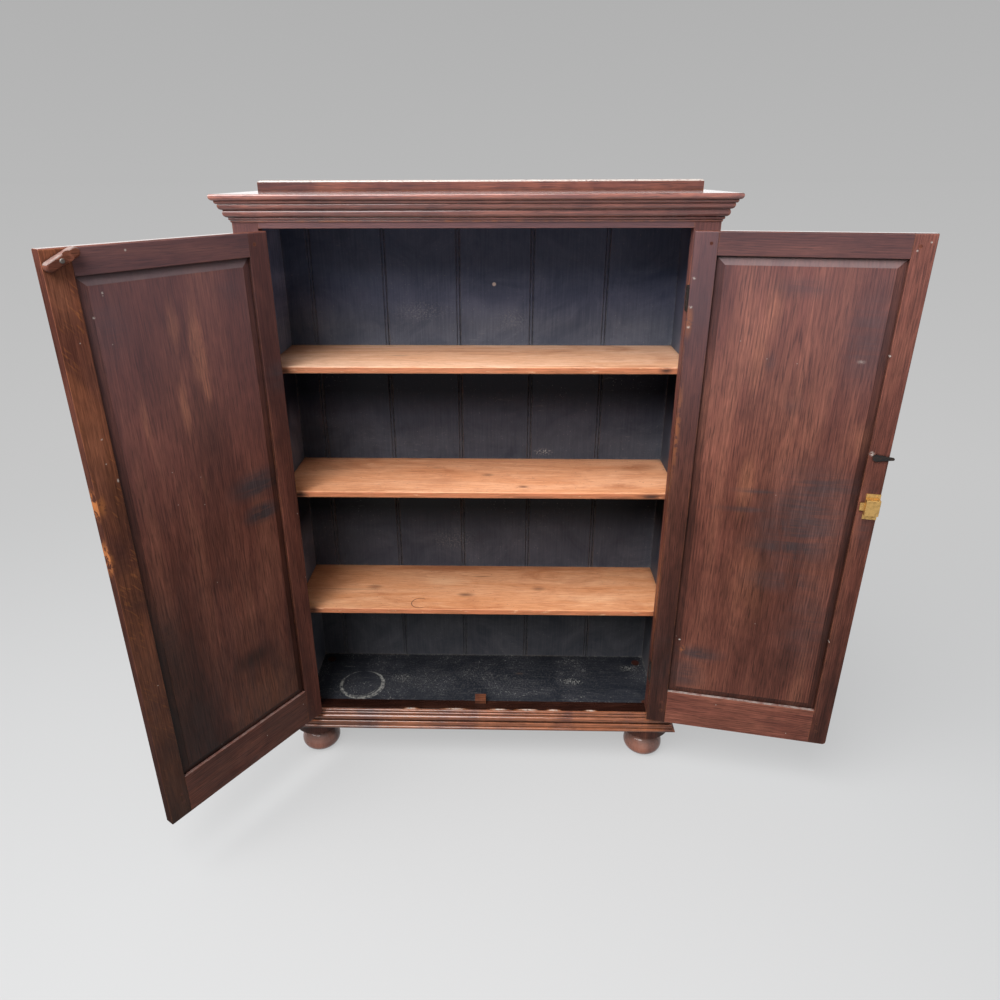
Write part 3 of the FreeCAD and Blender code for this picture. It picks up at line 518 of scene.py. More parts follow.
def dust_and_sheen_oak(name, share):
    """A pale film over oak: dust on a narrow ledge, and on the button's upper faces dust with painted sheen.
    """
    tint = colours()
    ledge = Finish(name)
    film = ledge.board.noise(60.0, 4.0, 0.65).fade(0.34, 0.60, share * 0.2, share)
    ledge.shade = blend(film, tint.oak_middle, tint.dust)
    return ledge.done(Roughness=0.6)


# The board under each bay of the interior, and the paint's tone at three heights above it: painted light at
# the foot of the bay, painted shadow under the shelf above, and a blue painted reflection of the sky in the
# upper bay
BAY_SHADOWS = (("floor_board", ((0.67, 0.63, 0.57), (0.65, 0.62, 0.55), (0.36, 0.36, 0.34))),
        ("shelf_lower", ((0.55, 0.56, 0.56), (0.44, 0.45, 0.45), (0.04, 0.045, 0.05))),
        ("shelf_middle", ((0.52, 0.55, 0.56), (0.44, 0.46, 0.50), (0.05, 0.06, 0.09))),
        ("shelf_upper", ((0.80, 0.84, 0.88), (0.68, 0.74, 0.92), (0.62, 0.76, 1.00))))
BAY_RISES = (0.0, 0.05, 0.12, 0.19)
RAMP_HEIGHT = 1.5


def bay_shadow_tones():
    """Tone of the paint by height: painted light at the foot of each bay, painted shadow under the shelf
    above.
    """
    feet = [top_of(node) for node, _ in BAY_SHADOWS]
    heads = [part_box(node)[0][2] for node, _ in BAY_SHADOWS[1:]] + [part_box("top_board")[0][2]]
    stops = []
    for foot, head, (_, tones) in zip(feet, heads, BAY_SHADOWS):
        for rise, tone in zip(BAY_RISES, (tones[0], *tones)):
            stops.append(((foot + rise) / RAMP_HEIGHT, (*tone, 1.0)))
        stops.append((head / RAMP_HEIGHT, (*tones[2], 1.0)))
    return stops


def black_paint(name, axis="z", dusty=0.35, lift=0.5, bay_shaded=False, spread=0.13, scratched=0.0,
                rings=(), scuffed=(), dots=(), bare=()):
    """Thin black paint over boards: brushed, scuffed, dusty, rubbed brown on its sharp edges, and in the bays
    painted with light and shadow by height.
    """
    tint = colours()
    paint = Finish(name)
    board = paint.board
    brushed = board.noise(along(axis, 210, 9), 4.0, 0.66)
    cloud = board.noise((7, 7, 8), 6.0, 0.68, 0.8)
    worn = brushed * 0.35 + cloud * 0.65
    paint.shade = blend(worn.fade(0.51 - spread, 0.51 + spread), tint.paint, tint.paint_worn)
    # Painted shadow under each shelf and painted light at the foot of each bay.
    if bay_shaded:
        paint.over(1.0, (paint.inner.part("Z") / RAMP_HEIGHT).ramp(*bay_shadow_tones()), "MULTIPLY")
    paint.over(1.0, (lift, lift, lift, 1.0), "MULTIPLY")
    scratch = board.noise((26, 26, 230), 3.0, 0.6, 1.5, turn=(0.12, 0.25, 0.3)).fade(0.62, 0.72)
    paint.over(scratch * cloud.fade(0.46, 0.68, 0.0, 0.5) * dusty, tint.chalk)
    paint.over(board.noise(330.0, 2.0, 0.5).fade(0.69, 0.75) * cloud.fade(0.36, 0.58) * dusty, tint.chalk)
    patchy = board.noise(95.0, 5.0, 0.7).fade(0.38, 0.58)
    for centre, radius, width, strength, gap in rings:
        paint.over(arc_mask(paint.inner, centre, radius, width, gap) * patchy * strength, tint.chalk)
    if scratched:
        drag = board.noise(along(axis, 420, 26), 4.0, 0.7, 0.6).fade(0.58, 0.74, 0.0, 0.25)
        fleck = board.noise(260.0, 3.0, 0.7).fade(0.60, 0.66) * cloud.fade(0.44, 0.62, 0.12, 1.0)
        paint.over(sums("MAXIMUM", drag, fleck * patchy) * scratched, tint.chalk)
    if scuffed:
        paint.patches(tint.chalk, board.noise(210.0, 4.0, 0.75).fade(0.50, 0.62), scuffed)
    if dots:
        paint.patches(tint.fleck, 1.0, dots)
    if bare:
        paint.patches(tint.raw_wood, patchy, bare)
    paint.over(paint.corners(0.012).fade(0.70, 0.45) * (patchy * (dusty * 0.5)), tint.chalk)
    rub = board.noise(along(axis, 40, 7), 5.0, 0.68).fade(0.42, 0.62)
    paint.over(paint.arrises(0.003).fade(0.90, 0.50) * rub * 0.8, tint.raw_wood)
    return paint.done(Normal=paint.relief(brushed, 0.25, 0.0006), Roughness=worn.fade(0.38, 0.70, 0.42, 0.60),
                      Specular_IOR_Level=0.15)


def metal(name, bright, dull, gloss, metallic):
    """Rubbed metal with tarnish in patches and fine scratches."""
    rubbed = Finish(name)
    patch = rubbed.board.noise(120.0, 4.0, 0.6, 0.4)
    fine = rubbed.board.noise((500, 500, 2600), 2.0, 0.6)
    rubbed.shade = blend(patch.fade(0.40, 0.80, 0.0, 0.7), bright, dull)
    return rubbed.done(Normal=rubbed.relief(fine, 0.12, 0.0003), Metallic=metallic,
                       Roughness=patch.fade(0.35, 0.7, gloss, gloss + 0.22))


def coat(made, *names):
    """Give CAD nodes one finish all over."""
    for name in names:
        mesh = NODES[name].data
        mesh.materials.clear()
        mesh.materials.append(made)


def coat_faces(made, name, chosen):
    """Give a CAD node a second finish on the faces that a test of normal and centre picks."""
    mesh = NODES[name].data
    mesh.materials.append(made)
    index = len(mesh.materials) - 1
    for face in mesh.polygons:
        if chosen(face.normal, face.center):
            face.material_index = index


# Operators

# Chips along the ledge under the doors: x and half width
LEDGE_CHIPS = ((-0.19, 0.03), (-0.07, 0.05), (0.05, 0.04), (0.13, 0.05), (0.20, 0.03), (0.30, 0.025))
# Dust and painted highlight on the feet, a step more on faces above each slope, and the height above which
# the neck is painted dark as painted shade
FOOT_SLOPES = (0.05, 0.20, 0.35, 0.50)
FOOT_FILM = 0.08
FOOT_NECK = 0.055


class KAS_OT_carcase(bpy.types.Operator):
    """Finish the sides, face frame, top, mouldings and feet"""
    bl_idname = "kas.carcase"
    bl_label = "Carcase"

    def execute(self, context):
        self.frame()
        self.top()
        self.base()
        self.feet()
        return {"FINISHED"}

    def frame(self):
        """Sides, stiles and rails, painted black on their inner faces, and the bearers."""
        # The left side's paint is lifted well above the right's: painted light on an inner wall that lies in
        # shade.
        for side, sign, lift in (("left", -1, 2.6), ("right", 1, 1.15)):
            paint = black_paint(f"black_paint_{side}", lift=lift, bay_shaded=True)
            coat(oak(f"side_oak_{side}", shift=(sign, 0.3, 0)), "side_" + side)
            coat_faces(paint, "side_" + side, lambda n, c: n.x * sign < -0.9)
            rubbed = upright_marks(-0.128, 0.02, (sign * 0.4515, 1.26, 0.004, 0.09, 0.35),
                                   (sign * 0.4515, 0.52, 0.003, 0.20, 0.35))
            coat(oak(f"frame_stile_oak_{side}", shift=(sign, 0, 0.4), low=0.75, high=1.05, painted_sheen=0.3,
                     wear=0.7, bare=rubbed), "frame_stile_" + side)
            coat_faces(paint, "frame_stile_" + side, lambda n, c: n.y > 0.9)
            coat(oak(f"bearer_oak_{side}", axis="y", low=0.5, wear=0.0), "shelf_bearers_" + side)
        coat(oak("head_rail_oak", axis="x", shift=(0, 0.2, 0.1), low=0.92, painted_sheen=0.50), "frame_head_rail")
        coat_faces(paint, "frame_head_rail", lambda n, c: n.y > 0.9)
        ledge = top_of("frame_bottom_rail")
        depth = front_of("frame_bottom_rail") + 1.0 * MM
        bare = level_marks(ledge, 0.004, *[(x, depth, wide, 0.006, 1.0) for x, wide in LEDGE_CHIPS])
        pale = level_marks(ledge, 0.004, *[(x, depth, wide * 0.7, 0.006, 0.9) for x, wide in LEDGE_CHIPS])
        coat(oak("ledge_oak", axis="x", shift=(0.5, 0.1, 0.3), low=0.13, gloss=0.20, coat_weight=0.5,
                 wear=0.0, bare=bare, chips=pale), "frame_bottom_rail")

    def top(self):
        """Top board, upstand and cornice, waxed where they face up, with painted highlight on the top board's
        nose and along the upstand's upper arris.
        """
        board = dict(axis="x", shift=(0.2, 0.5, 0.1), coat_weight=1.0)
        # The top board's pale tone and rubbed arrises are partly a painted highlight along its nose.
        coat(oak("top_oak", low=2.6, painted_sheen=0.40, gloss=0.26, wear=0.5, warmth=0.12, **board), "top_board")
        waxed = oak("waxed_top_oak", low=1.6, gloss=0.2, sheen=0.6, wear=0.0, **board)
        coat_faces(waxed, "top_board", lambda n, c: n.z > 0.5)
        strip = dict(axis="x", shift=(0.7, 0.2, 0.6))
        coat(oak("upstand_oak", low=1.05, painted_sheen=0.2, warmth=0.12, gloss=0.36, **strip), "top_upstand")
        # A pale dust film and flecks along the upstand's upper arris: a painted highlight.
        pale = level_marks(top_of("top_upstand"), 0.2, (0.0, 0.13, 2.0, 0.2, 0.75))
        arris = oak("upstand_arris_highlight_oak", low=1.6, gloss=0.25, coat_weight=0.6, sheen=0.5, wear=0.0, film=0.6,
                    chips=pale, **strip)
        coat_faces(arris, "top_upstand", lambda n, c: n.z > 0.4)
        cornice = dict(shift=(0.4, 0.8, 0.2))
        coat(oak("cornice_oak", axis="x", low=1.75, painted_sheen=0.35, gloss=0.24, coat_weight=0.8, warmth=0.05,
                 grime_and_shade=1.0, **cornice), "cornice_front")
        coat(oak("cornice_side_oak", axis="y", low=1.2, gloss=0.34, wear=0.15, **cornice),
             "cornice_left", "cornice_right")

    def base(self):
        """Base mouldings, darker with painted shade in their grooves and painted lighter where they face up
        as a painted highlight, the corner blocks and the stop.
        """
        shift = (0.9, 0.4, 0.7)
        front = dict(axis="x", shift=shift, coat_weight=0.7)
        coat(oak("base_oak", low=0.74, warmth=0.42, gloss=0.20, grime_and_shade=1.0, **front), "base_moulding_front")
        # The reeds' upper faces are painted lighter and glossier: a painted highlight.
        reeds_highlit = oak("base_reed_oak", warmth=0.40, gloss=0.16, sheen=0.3, wear=0.5, **front)
        coat_faces(reeds_highlit, "base_moulding_front", lambda n, c: n.z > 0.55)
        coat(oak("base_side_oak", axis="y", shift=shift, low=1.15, gloss=0.30, wear=0.15),
             "base_moulding_left", "base_moulding_right")
        coat(oak("block_oak", low=0.7, wear=0.0), "corner_blocks")
        coat(oak("stop_oak", axis="x", low=0.6, warmth=0.35, wear=0.0), "door_stop_block")

    def feet(self):
        """Turned feet: more dust and painted highlight the more a face looks up, and painted shade on the
        neck under the carcase.
        """
        shift = (0.3, 0.3, 0.9)
        turned = dict(shift=shift, low=1.15, warmth=0.10, wear=0.0, fine=0.3, lines=0.1, pores=0.15)
        plain = oak("foot_oak", gloss=0.22, coat_weight=0.8, **turned)
        dust_and_highlight = [(slope, oak(f"foot_dust_and_highlight_oak_{step}", gloss=0.26, coat_weight=0.6, film=FOOT_FILM * step,
                              **turned))
                  for step, slope in enumerate(FOOT_SLOPES, 1)]
        neck_shade = oak("foot_neck_shade_oak", shift=shift, low=0.35, wear=0.0)
        for name in ("foot_front_left", "foot_front_right", "foot_back_left", "foot_back_right"):
            coat(plain, name)
            for slope, dust in dust_and_highlight:
                coat_faces(dust, name, lambda n, c: n.z > slope)
            coat_faces(neck_shade, name, lambda n, c: c.z > FOOT_NECK)


class KAS_OT_interior(bpy.types.Operator):
    """Paint the back and the floor black, raw wood behind"""
    bl_idname = "kas.interior"
    bl_label = "Painted interior"

    def execute(self, context):
        raw = oak("raw_back", low=1.3, wear=0.0, gloss=0.7, sheen=0.08, film=0.36)
        self.back(raw)
        self.floor(raw)
        return {"FINISHED"}

    def back(self, raw):
        """The back boards, with a pale dot and a few scuffs on the paint."""
        boards = [name for name in sorted(NODES) if name.startswith("back_board_")]
        depth = front_of(boards[0])
        paint = black_paint(
            "black_paint_back", lift=1.2, bay_shaded=True, spread=0.26,
            dots=upright_marks(depth, 0.01, (0.035, 1.2565, 0.006, 0.006, 2.5)),
            scuffed=upright_marks(depth, 0.01, (0.166, 0.814, 0.035, 0.014, 1.0),
                                  (-0.15, 1.19, 0.10, 0.04, 0.25), (-0.08, 0.545, 0.09, 0.05, 0.22),
                                  (0.08, 1.17, 0.06, 0.04, 0.2)))
        for name in boards:
            coat(paint, name)
            coat_faces(raw, name, lambda n, c: n.y > 0.5)

    def floor(self, raw):
        """The floor board, with chalky rings, scuffs and bare patches on the paint."""
        top = top_of("floor_board")
        paint = black_paint(
            "black_paint_floor", axis="x", dusty=0.75, lift=0.26, scratched=0.95,
            rings=(((-0.346, -0.022, top), 0.0595, 0.0055, 0.6, (-0.22, 0.66, 0.0)),
                   ((-0.341, -0.026, top), 0.0600, 0.0030, 0.5, (-0.40, 0.55, 0.0)),
                   ((-0.349, -0.020, top), 0.0545, 0.0020, 0.4, (0.80, 0.60, 0.0))),
            scuffed=level_marks(top, 0.02, (0.262, -0.001, 0.045, 0.018, 1.0),
                                (0.4325, 0.063, 0.04, 0.022, 0.8), (-0.236, 0.008, 0.05, 0.03, 0.45),
                                (0.0, 0.0, 0.6, 0.20, 0.10)),
            bare=level_marks(top, 0.02, (0.0, -0.097, 0.5, 0.006, 1.0), (0.1115, 0.0326, 0.016, 0.004, 1.0)))
        coat(raw, "floor_board")
        coat_faces(paint, "floor_board", lambda n, c: n.z > 0.9)


# How far knots and stains reach above and below a shelf's top
KNOT_REACH = 0.01
STAIN_REACH = 0.02


class KAS_OT_shelves(bpy.types.Operator):
    """Finish the three pine shelves"""
    bl_idname = "kas.shelves"
    bl_label = "Shelves"

    def execute(self, context):
        self.shelf("upper", (0.1, 0.2, 0.3), (1.04, 1.10, 1.28),
                   knots=((-0.19, 0.004, 0.035, 0.010, 0.35), (0.20, 0.05, 0.03, 0.008, 0.3)),
                   stains=((-0.46, 0.05, 0.10, 0.09, 0.4), (0.44, -0.02, 0.05, 0.09, 0.3)),
                   burnt=((0.427, 0.0065, 0.024, 0.012, 0.012, 1.0),
                          (-0.44, 0.0105, 0.03, 0.012, 0.010, 0.8)))
        self.shelf("middle", (1.1, 0.7, 0.3), (1.00, 0.88, 0.87),
                   knots=((-0.39, 0.045, 0.06, 0.022, 0.35), (0.02, 0.004, 0.022, 0.014, 0.7),
                          (0.11, -0.07, 0.018, 0.010, 0.8), (-0.117, 0.05, 0.02, 0.006, 0.6)),
                   stains=((0.405, 0.062, 0.09, 0.035, 1.0), (0.35, -0.065, 0.07, 0.03, 0.7),
                           (-0.10, -0.05, 0.09, 0.04, 0.5)),
                   burnt=((-0.437, 0.0085, 0.03, 0.02, 0.012, 1.0), (0.42, 0.0085, 0.05, 0.012, 0.012, 1.0),
                          (0.33, 0.0115, 0.07, 0.012, 0.006, 0.6), (0.13, 0.0115, 0.12, 0.012, 0.005, 0.5)))
        self.shelf("lower", (2.1, 1.2, 0.3), (0.92, 0.81, 0.76),
                   knots=((-0.292, 0.0, 0.030, 0.016, 0.7), (-0.039, -0.034, 0.034, 0.016, 0.75),
                          (0.158, 0.0, 0.028, 0.016, 0.7), (0.0, 0.06, 0.04, 0.005, 0.6)),
                   stains=((0.0, 0.105, 0.55, 0.022, 0.8), (-0.45, 0.02, 0.10, 0.12, 0.6)),
                   pale=((-0.1, 0.03, 0.09, 0.03, 0.5), (0.30, -0.05, 0.12, 0.03, 0.4)),
                   burnt=((-0.437, 0.007, 0.03, 0.02, 0.012, 0.9),),
                   ring=(-0.158, -0.078, 0.023, 0.0020), crack=(-0.36, -0.012, 0.13, 0.0013))
        return {"FINISHED"}

    def shelf(self, level, shift, tone, knots, stains, burnt, pale=(), ring=None, crack=None):
        """One shelf with marks on its top, and burns given by their drop below the top at the front edge."""
        node = "shelf_" + level
        top = top_of(node)
        front = front_of(node)
        burns = [((x, front, top - drop), radii, strength) for x, drop, *radii, strength in burnt]
        if ring:
            x, y, radius, width = ring
            ring = ((x, y, top), radius, width)
        if crack:
            x, y, wide, deep = crack
            crack = ((x, y, top), (wide, deep, KNOT_REACH))
        coat(pine("pine_" + level, shift, tone, level_marks(top, KNOT_REACH, *knots),
                  level_marks(top, STAIN_REACH, *stains), level_marks(top, STAIN_REACH, *pale),
                  burns, ring, crack), node)


# Heights above which a door's level faces are its head, and its bottom rail's are the ledge under the panel
DOOR_HEAD = 1.39
DOOR_LEDGE = 0.2


class KAS_OT_doors(bpy.types.Operator):
    """Finish the frames, panels and pegs of both doors"""
    bl_idname = "kas.doors"
    bl_label = "Doors"

    def execute(self, context):
        self.left()
        self.right()
        for side, body, dust in (("left", LEFT_DOOR, 0.35), ("right", RIGHT_DOOR, 0.75)):
            self.tops(side, body, dust)
        self.left_edge()
        coat(oak("button_oak", LEFT_DOOR, "x", shift=(0.1, 0.9, 0.4), low=0.9, warmth=0.1), "turn_button")
        # The button's upper faces get a pale film: dust, and painted sheen.
        coat_faces(dust_and_sheen_oak("button_dust_and_sheen", 0.55), "turn_button", lambda n, c: n.z > 0.35)
        return {"FINISHED"}

    def left(self):
        """Stiles, rails and panel of the left door, with painted light and sheen at the head, and painted
        shade with dark patches low at the meeting side.
        """
        coat(oak("left_hinge_oak", LEFT_DOOR, shift=(0.3, 0.1, 0.2), low=0.95, high=1.0, painted_sheen=0.25, wear=0.5,
                 flecks=0.6, stains=left_marks((0.012, 1.10, 0.05, 0.05, 0.8))), "left_door_hinge_stile")
        coat(oak("left_meeting_oak", LEFT_DOOR, shift=(0.6, 0.4, 0.7), low=0.14, high=1.20, warmth=0.25,
                 lines=0.1, pores=0.3, rays=0.45, flecks=0.8,
                 chips=left_marks(
                     (0.416, 1.071, 0.003, 0.003, 0.9), (0.397, 1.011, 0.004, 0.003, 0.9),
                     (0.403, 0.986, 0.003, 0.005, 0.9)),
                 streaks=left_marks((0.43, 1.33, 0.03, 0.09, 0.6), (0.43, 1.05, 0.03, 0.16, 0.35)),
                 bare=left_marks((0.442, 0.948, 0.012, 0.030, 0.8), (0.449, 0.838, 0.010, 0.035, 0.7))),
             "left_door_meeting_stile")
        coat(oak("left_rail_oak", LEFT_DOOR, "x", shift=(0.2, 0.6, 0.1), low=0.60, high=1.10, painted_sheen=0.50,
                 flecks=0.8, chips=left_marks((0.306, 1.389, 0.003, 0.003, 0.9))),
             "left_door_top_rail", "left_door_bottom_rail")
        self.panel("left", LEFT_DOOR, 0.35, 1.54, 0.55, dict(
            shift=(0.8, 0.2, 0.5), wear=0.15, lines=0.10, pores=0.45, flecks=0.4,
            chips=left_marks((0.359, 1.322, 0.003, 0.003, 0.9), (0.382, 1.2825, 0.003, 0.003, 0.9)),
            streaks=left_marks(
                (0.196, 1.19, 0.028, 0.13, 1.3), (0.190, 1.11, 0.018, 0.06, 0.9),
                (0.239, 1.24, 0.022, 0.08, 0.8), (0.328, 1.08, 0.012, 0.08, 0.5),
                (0.2435, 1.085, 0.018, 0.09, 0.9), (0.230, 0.915, 0.012, 0.05, 0.3),
                (0.22, 1.12, 0.12, 0.24, 0.2), (0.14, 0.32, 0.15, 0.13, 0.6)),
            dark=left_marks(
                (0.38, 0.45, 0.16, 0.42, 0.80), (0.33, 0.28, 0.14, 0.12, 0.5),
                (0.18, 0.445, 0.09, 0.045, 0.75)),
            stains=left_marks(
                (0.095, 0.87, 0.11, 0.05, 1.2), (0.10, 0.80, 0.07, 0.035, 1.5),
                (0.375, 0.60, 0.05, 0.15, 0.5), (0.34, 0.35, 0.10, 0.14, 0.3),
                (0.36, 1.26, 0.06, 0.10, 0.5), (0.10, 1.30, 0.05, 0.05, 0.4))))

    def right(self):
        """Stiles, rails and panel of the right door, with broad stains on the panel."""
        coat(oak("right_hinge_oak", RIGHT_DOOR, shift=(1.3, 0.1, 0.2), low=0.30, high=0.66, painted_sheen=0.45,
                 wear=0.6, flecks=0.5,
                 chips=right_marks(
                     (0.008, 1.309, 0.005, 0.004, 0.6), (0.006, 1.25, 0.006, 0.004, 0.6),
                     (0.006, 1.208, 0.005, 0.004, 0.6)),
                 bare=right_marks((0.006, 1.22, 0.012, 0.05, 0.35), (0.004, 0.98, 0.010, 0.16, 0.35)),
                 stains=right_marks((0.02, 1.25, 0.05, 0.10, 0.4), (0.02, 0.35, 0.05, 0.15, 0.5))),
             "right_door_hinge_stile")
        coat(oak("right_meeting_oak", RIGHT_DOOR, shift=(1.6, 0.4, 0.7), low=0.50, high=1.10, painted_sheen=0.15,
                 wear=0.6, flecks=0.9,
                 chips=right_marks(
                     (0.4075, 1.164, 0.004, 0.003, 0.7), (0.416, 1.3695, 0.003, 0.003, 0.8),
                     (0.438, 1.386, 0.003, 0.003, 0.8), (0.413, 0.952, 0.007, 0.008, 0.7)),
                 stains=right_marks((0.43, 0.80, 0.03, 0.12, 0.6))),
             "right_door_meeting_stile")
        coat(oak("right_rail_oak", RIGHT_DOOR, "x", shift=(1.2, 0.6, 0.1), low=1.20, high=0.62, painted_sheen=0.30,
                 heart=0.3, depth=0.05, period=0.0055, lines=0.6, flecks=0.8),
             "right_door_top_rail", "right_door_bottom_rail")
        self.panel("right", RIGHT_DOOR, 0.74, 1.12, 0.32, dict(
            shift=(1.8, 0.2, 0.5), wear=0.15, heart=-0.23, depth=0.07, period=0.0062, lines=0.5, flecks=0.3,
            chips=right_marks((0.357, 1.149, 0.012, 0.006, 0.25), (0.063, 0.421, 0.004, 0.003, 0.8)),
            bare=right_marks((0.072, 0.395, 0.010, 0.016, 0.5)),
            streaks=right_marks(
                (0.173, 1.25, 0.03, 0.09, 0.5), (0.157, 1.147, 0.03, 0.12, 0.5),
                (0.168, 0.858, 0.03, 0.12, 0.55), (0.388, 0.98, 0.035, 0.06, 0.4),
                (0.21, 0.98, 0.12, 0.30, 0.14), (0.20, 0.60, 0.08, 0.20, 0.25)),
            stains=right_marks(
                (0.305, 0.78, 0.15, 0.21, 0.95), (0.33, 0.865, 0.13, 0.06, 0.85),
                (0.29, 0.71, 0.15, 0.05, 0.95), (0.29, 0.62, 0.14, 0.05, 0.7),
                (0.35, 0.50, 0.10, 0.20, 0.5), (0.36, 1.20, 0.07, 0.16, 0.7),
                (0.11, 0.385, 0.09, 0.035, 0.9), (0.085, 0.32, 0.07, 0.07, 0.8),
                (0.18, 1.14, 0.02, 0.03, 0.5), (0.24, 1.055, 0.03, 0.04, 0.5),
                (0.227, 1.295, 0.09, 0.03, 0.5), (0.175, 0.796, 0.12, 0.012, 0.7),
                (0.20, 0.843, 0.09, 0.010, 0.7))))

    def panel(self, side, body, low, high, painted_sheen, looks):
        """A fielded panel: its flat, its head bevel paler with painted sheen and dust, and its side and foot
        bevels painted darker as painted shade.
        """
        back = Matrix.Rotation(-body[1], 3, "Z")
        node = f"{side}_door_panel"
        coat(oak(f"{side}_panel_oak", body, low=low, high=high, painted_sheen=painted_sheen, **looks), node)
        # The head bevel, which faces up: painted sheen and a dust film.
        head = oak(f"{side}_panel_head_sheen_oak", body, low=low, high=high, painted_sheen=min(painted_sheen + 0.3, 1.0), film=0.22,
                   **looks)
        coat_faces(head, node, lambda n, c: 0.05 < n.z < 0.5)
        # The side and foot bevels at a lower tone: painted shade.
        margin = oak(f"{side}_panel_margin_shaded_oak", body, low=low * 0.55, high=high * 0.55, painted_sheen=painted_sheen * 0.6,
                     **looks)
        coat_faces(margin, node, lambda n, c: -0.5 < n.z < -0.05 or 0.05 < abs((back @ n).x) < 0.5)

    def tops(self, side, body, dust):
        """The pegs, the waxed head of the door and the dusty ledge under the panel."""
        coat(oak(f"{side}_peg_oak", body, "y", low=0.40, high=0.80, wear=0.0), f"{side}_door_pegs")
        waxed = oak(f"{side}_door_top_oak", body, "x", gloss=0.2, coat_weight=1.0, wear=0.0)
        for piece in ("hinge_stile", "meeting_stile", "top_rail"):
            coat_faces(waxed, f"{side}_door_{piece}", lambda n, c: n.z > 0.5 and c.z > DOOR_HEAD)
        coat_faces(dust_and_sheen_oak(f"{side}_ledge_dust", dust), f"{side}_door_bottom_rail",
                   lambda n, c: n.z > 0.6 and c.z > DOOR_LEDGE)

    def left_edge(self):
        """The meeting edge of the left door, dull and rubbed bare in two places."""
        outward = Matrix.Rotation(LEFT_DOOR[1], 3, "Z") @ Vector((1.0, 0.0, 0.0))
        edge = oak("left_edge_oak", LEFT_DOOR, shift=(0.6, 0.4, 0.7), low=0.15, high=0.60, wear=0.0,
                   gloss=0.7, sheen=0.05,
                   bare=left_marks((0.449, 0.948, 0.012, 0.04, 0.9), (0.449, 0.838, 0.012, 0.05, 0.9)))
        coat_faces(edge, "left_door_meeting_stile", lambda n, c: n.dot(outward) > 0.9)


class KAS_OT_fittings(bpy.types.Operator):
    """Finish the hinges, the lock and the latch"""
    bl_idname = "kas.fittings"
    bl_label = "Hinges, lock and latch"

    def execute(self, context):
        tint = colours()
        brass = metal("brass", tint.brass, tint.brass_dull, 0.34, 0.85)
        iron = metal("black_iron", tint.iron, tint.rust, 0.42, 0.6)
        coat(brass, "lock_case", "lock_bolt", "lock_escutcheon")
        coat(iron, "latch_tongue", "latch_knob")
        coat(metal("worn_screw", tint.steel, tint.rust, 0.5, 0.5), "turn_button_screw")
        for side in ("left", "right"):
            for piece in ("frame_leaves", "door_leaves", "pins"):
                coat(iron, f"{side}_door_hinge_{piece}")
        return {"FINISHED"}


# A head's sides. In shares of its stand: its rim, the lifts of its crown, and the slot's cutter, which goes
# right through to the leaf. In shares of its radius: the crown's insets, the slot's length and its width
HEAD_SIDES = 24
HEAD_RIM = 0.7
CROWN_LIFTS = (0.40, 0.25)
SLOT_DEPTH = 3.2
CROWN_INSET = 0.3
SLOT_LENGTH = 3.0
SLOT_WIDTH = 0.32
# Turns of the slots: the first hinge screw's, the step to the next, and those of the lock's four screws
LEAF_SLOT_TURN = 0.7
LEAF_SLOT_STEP = 1.9
LOCK_SLOT_TURNS = (0.4, 1.3, 2.2, 0.9)


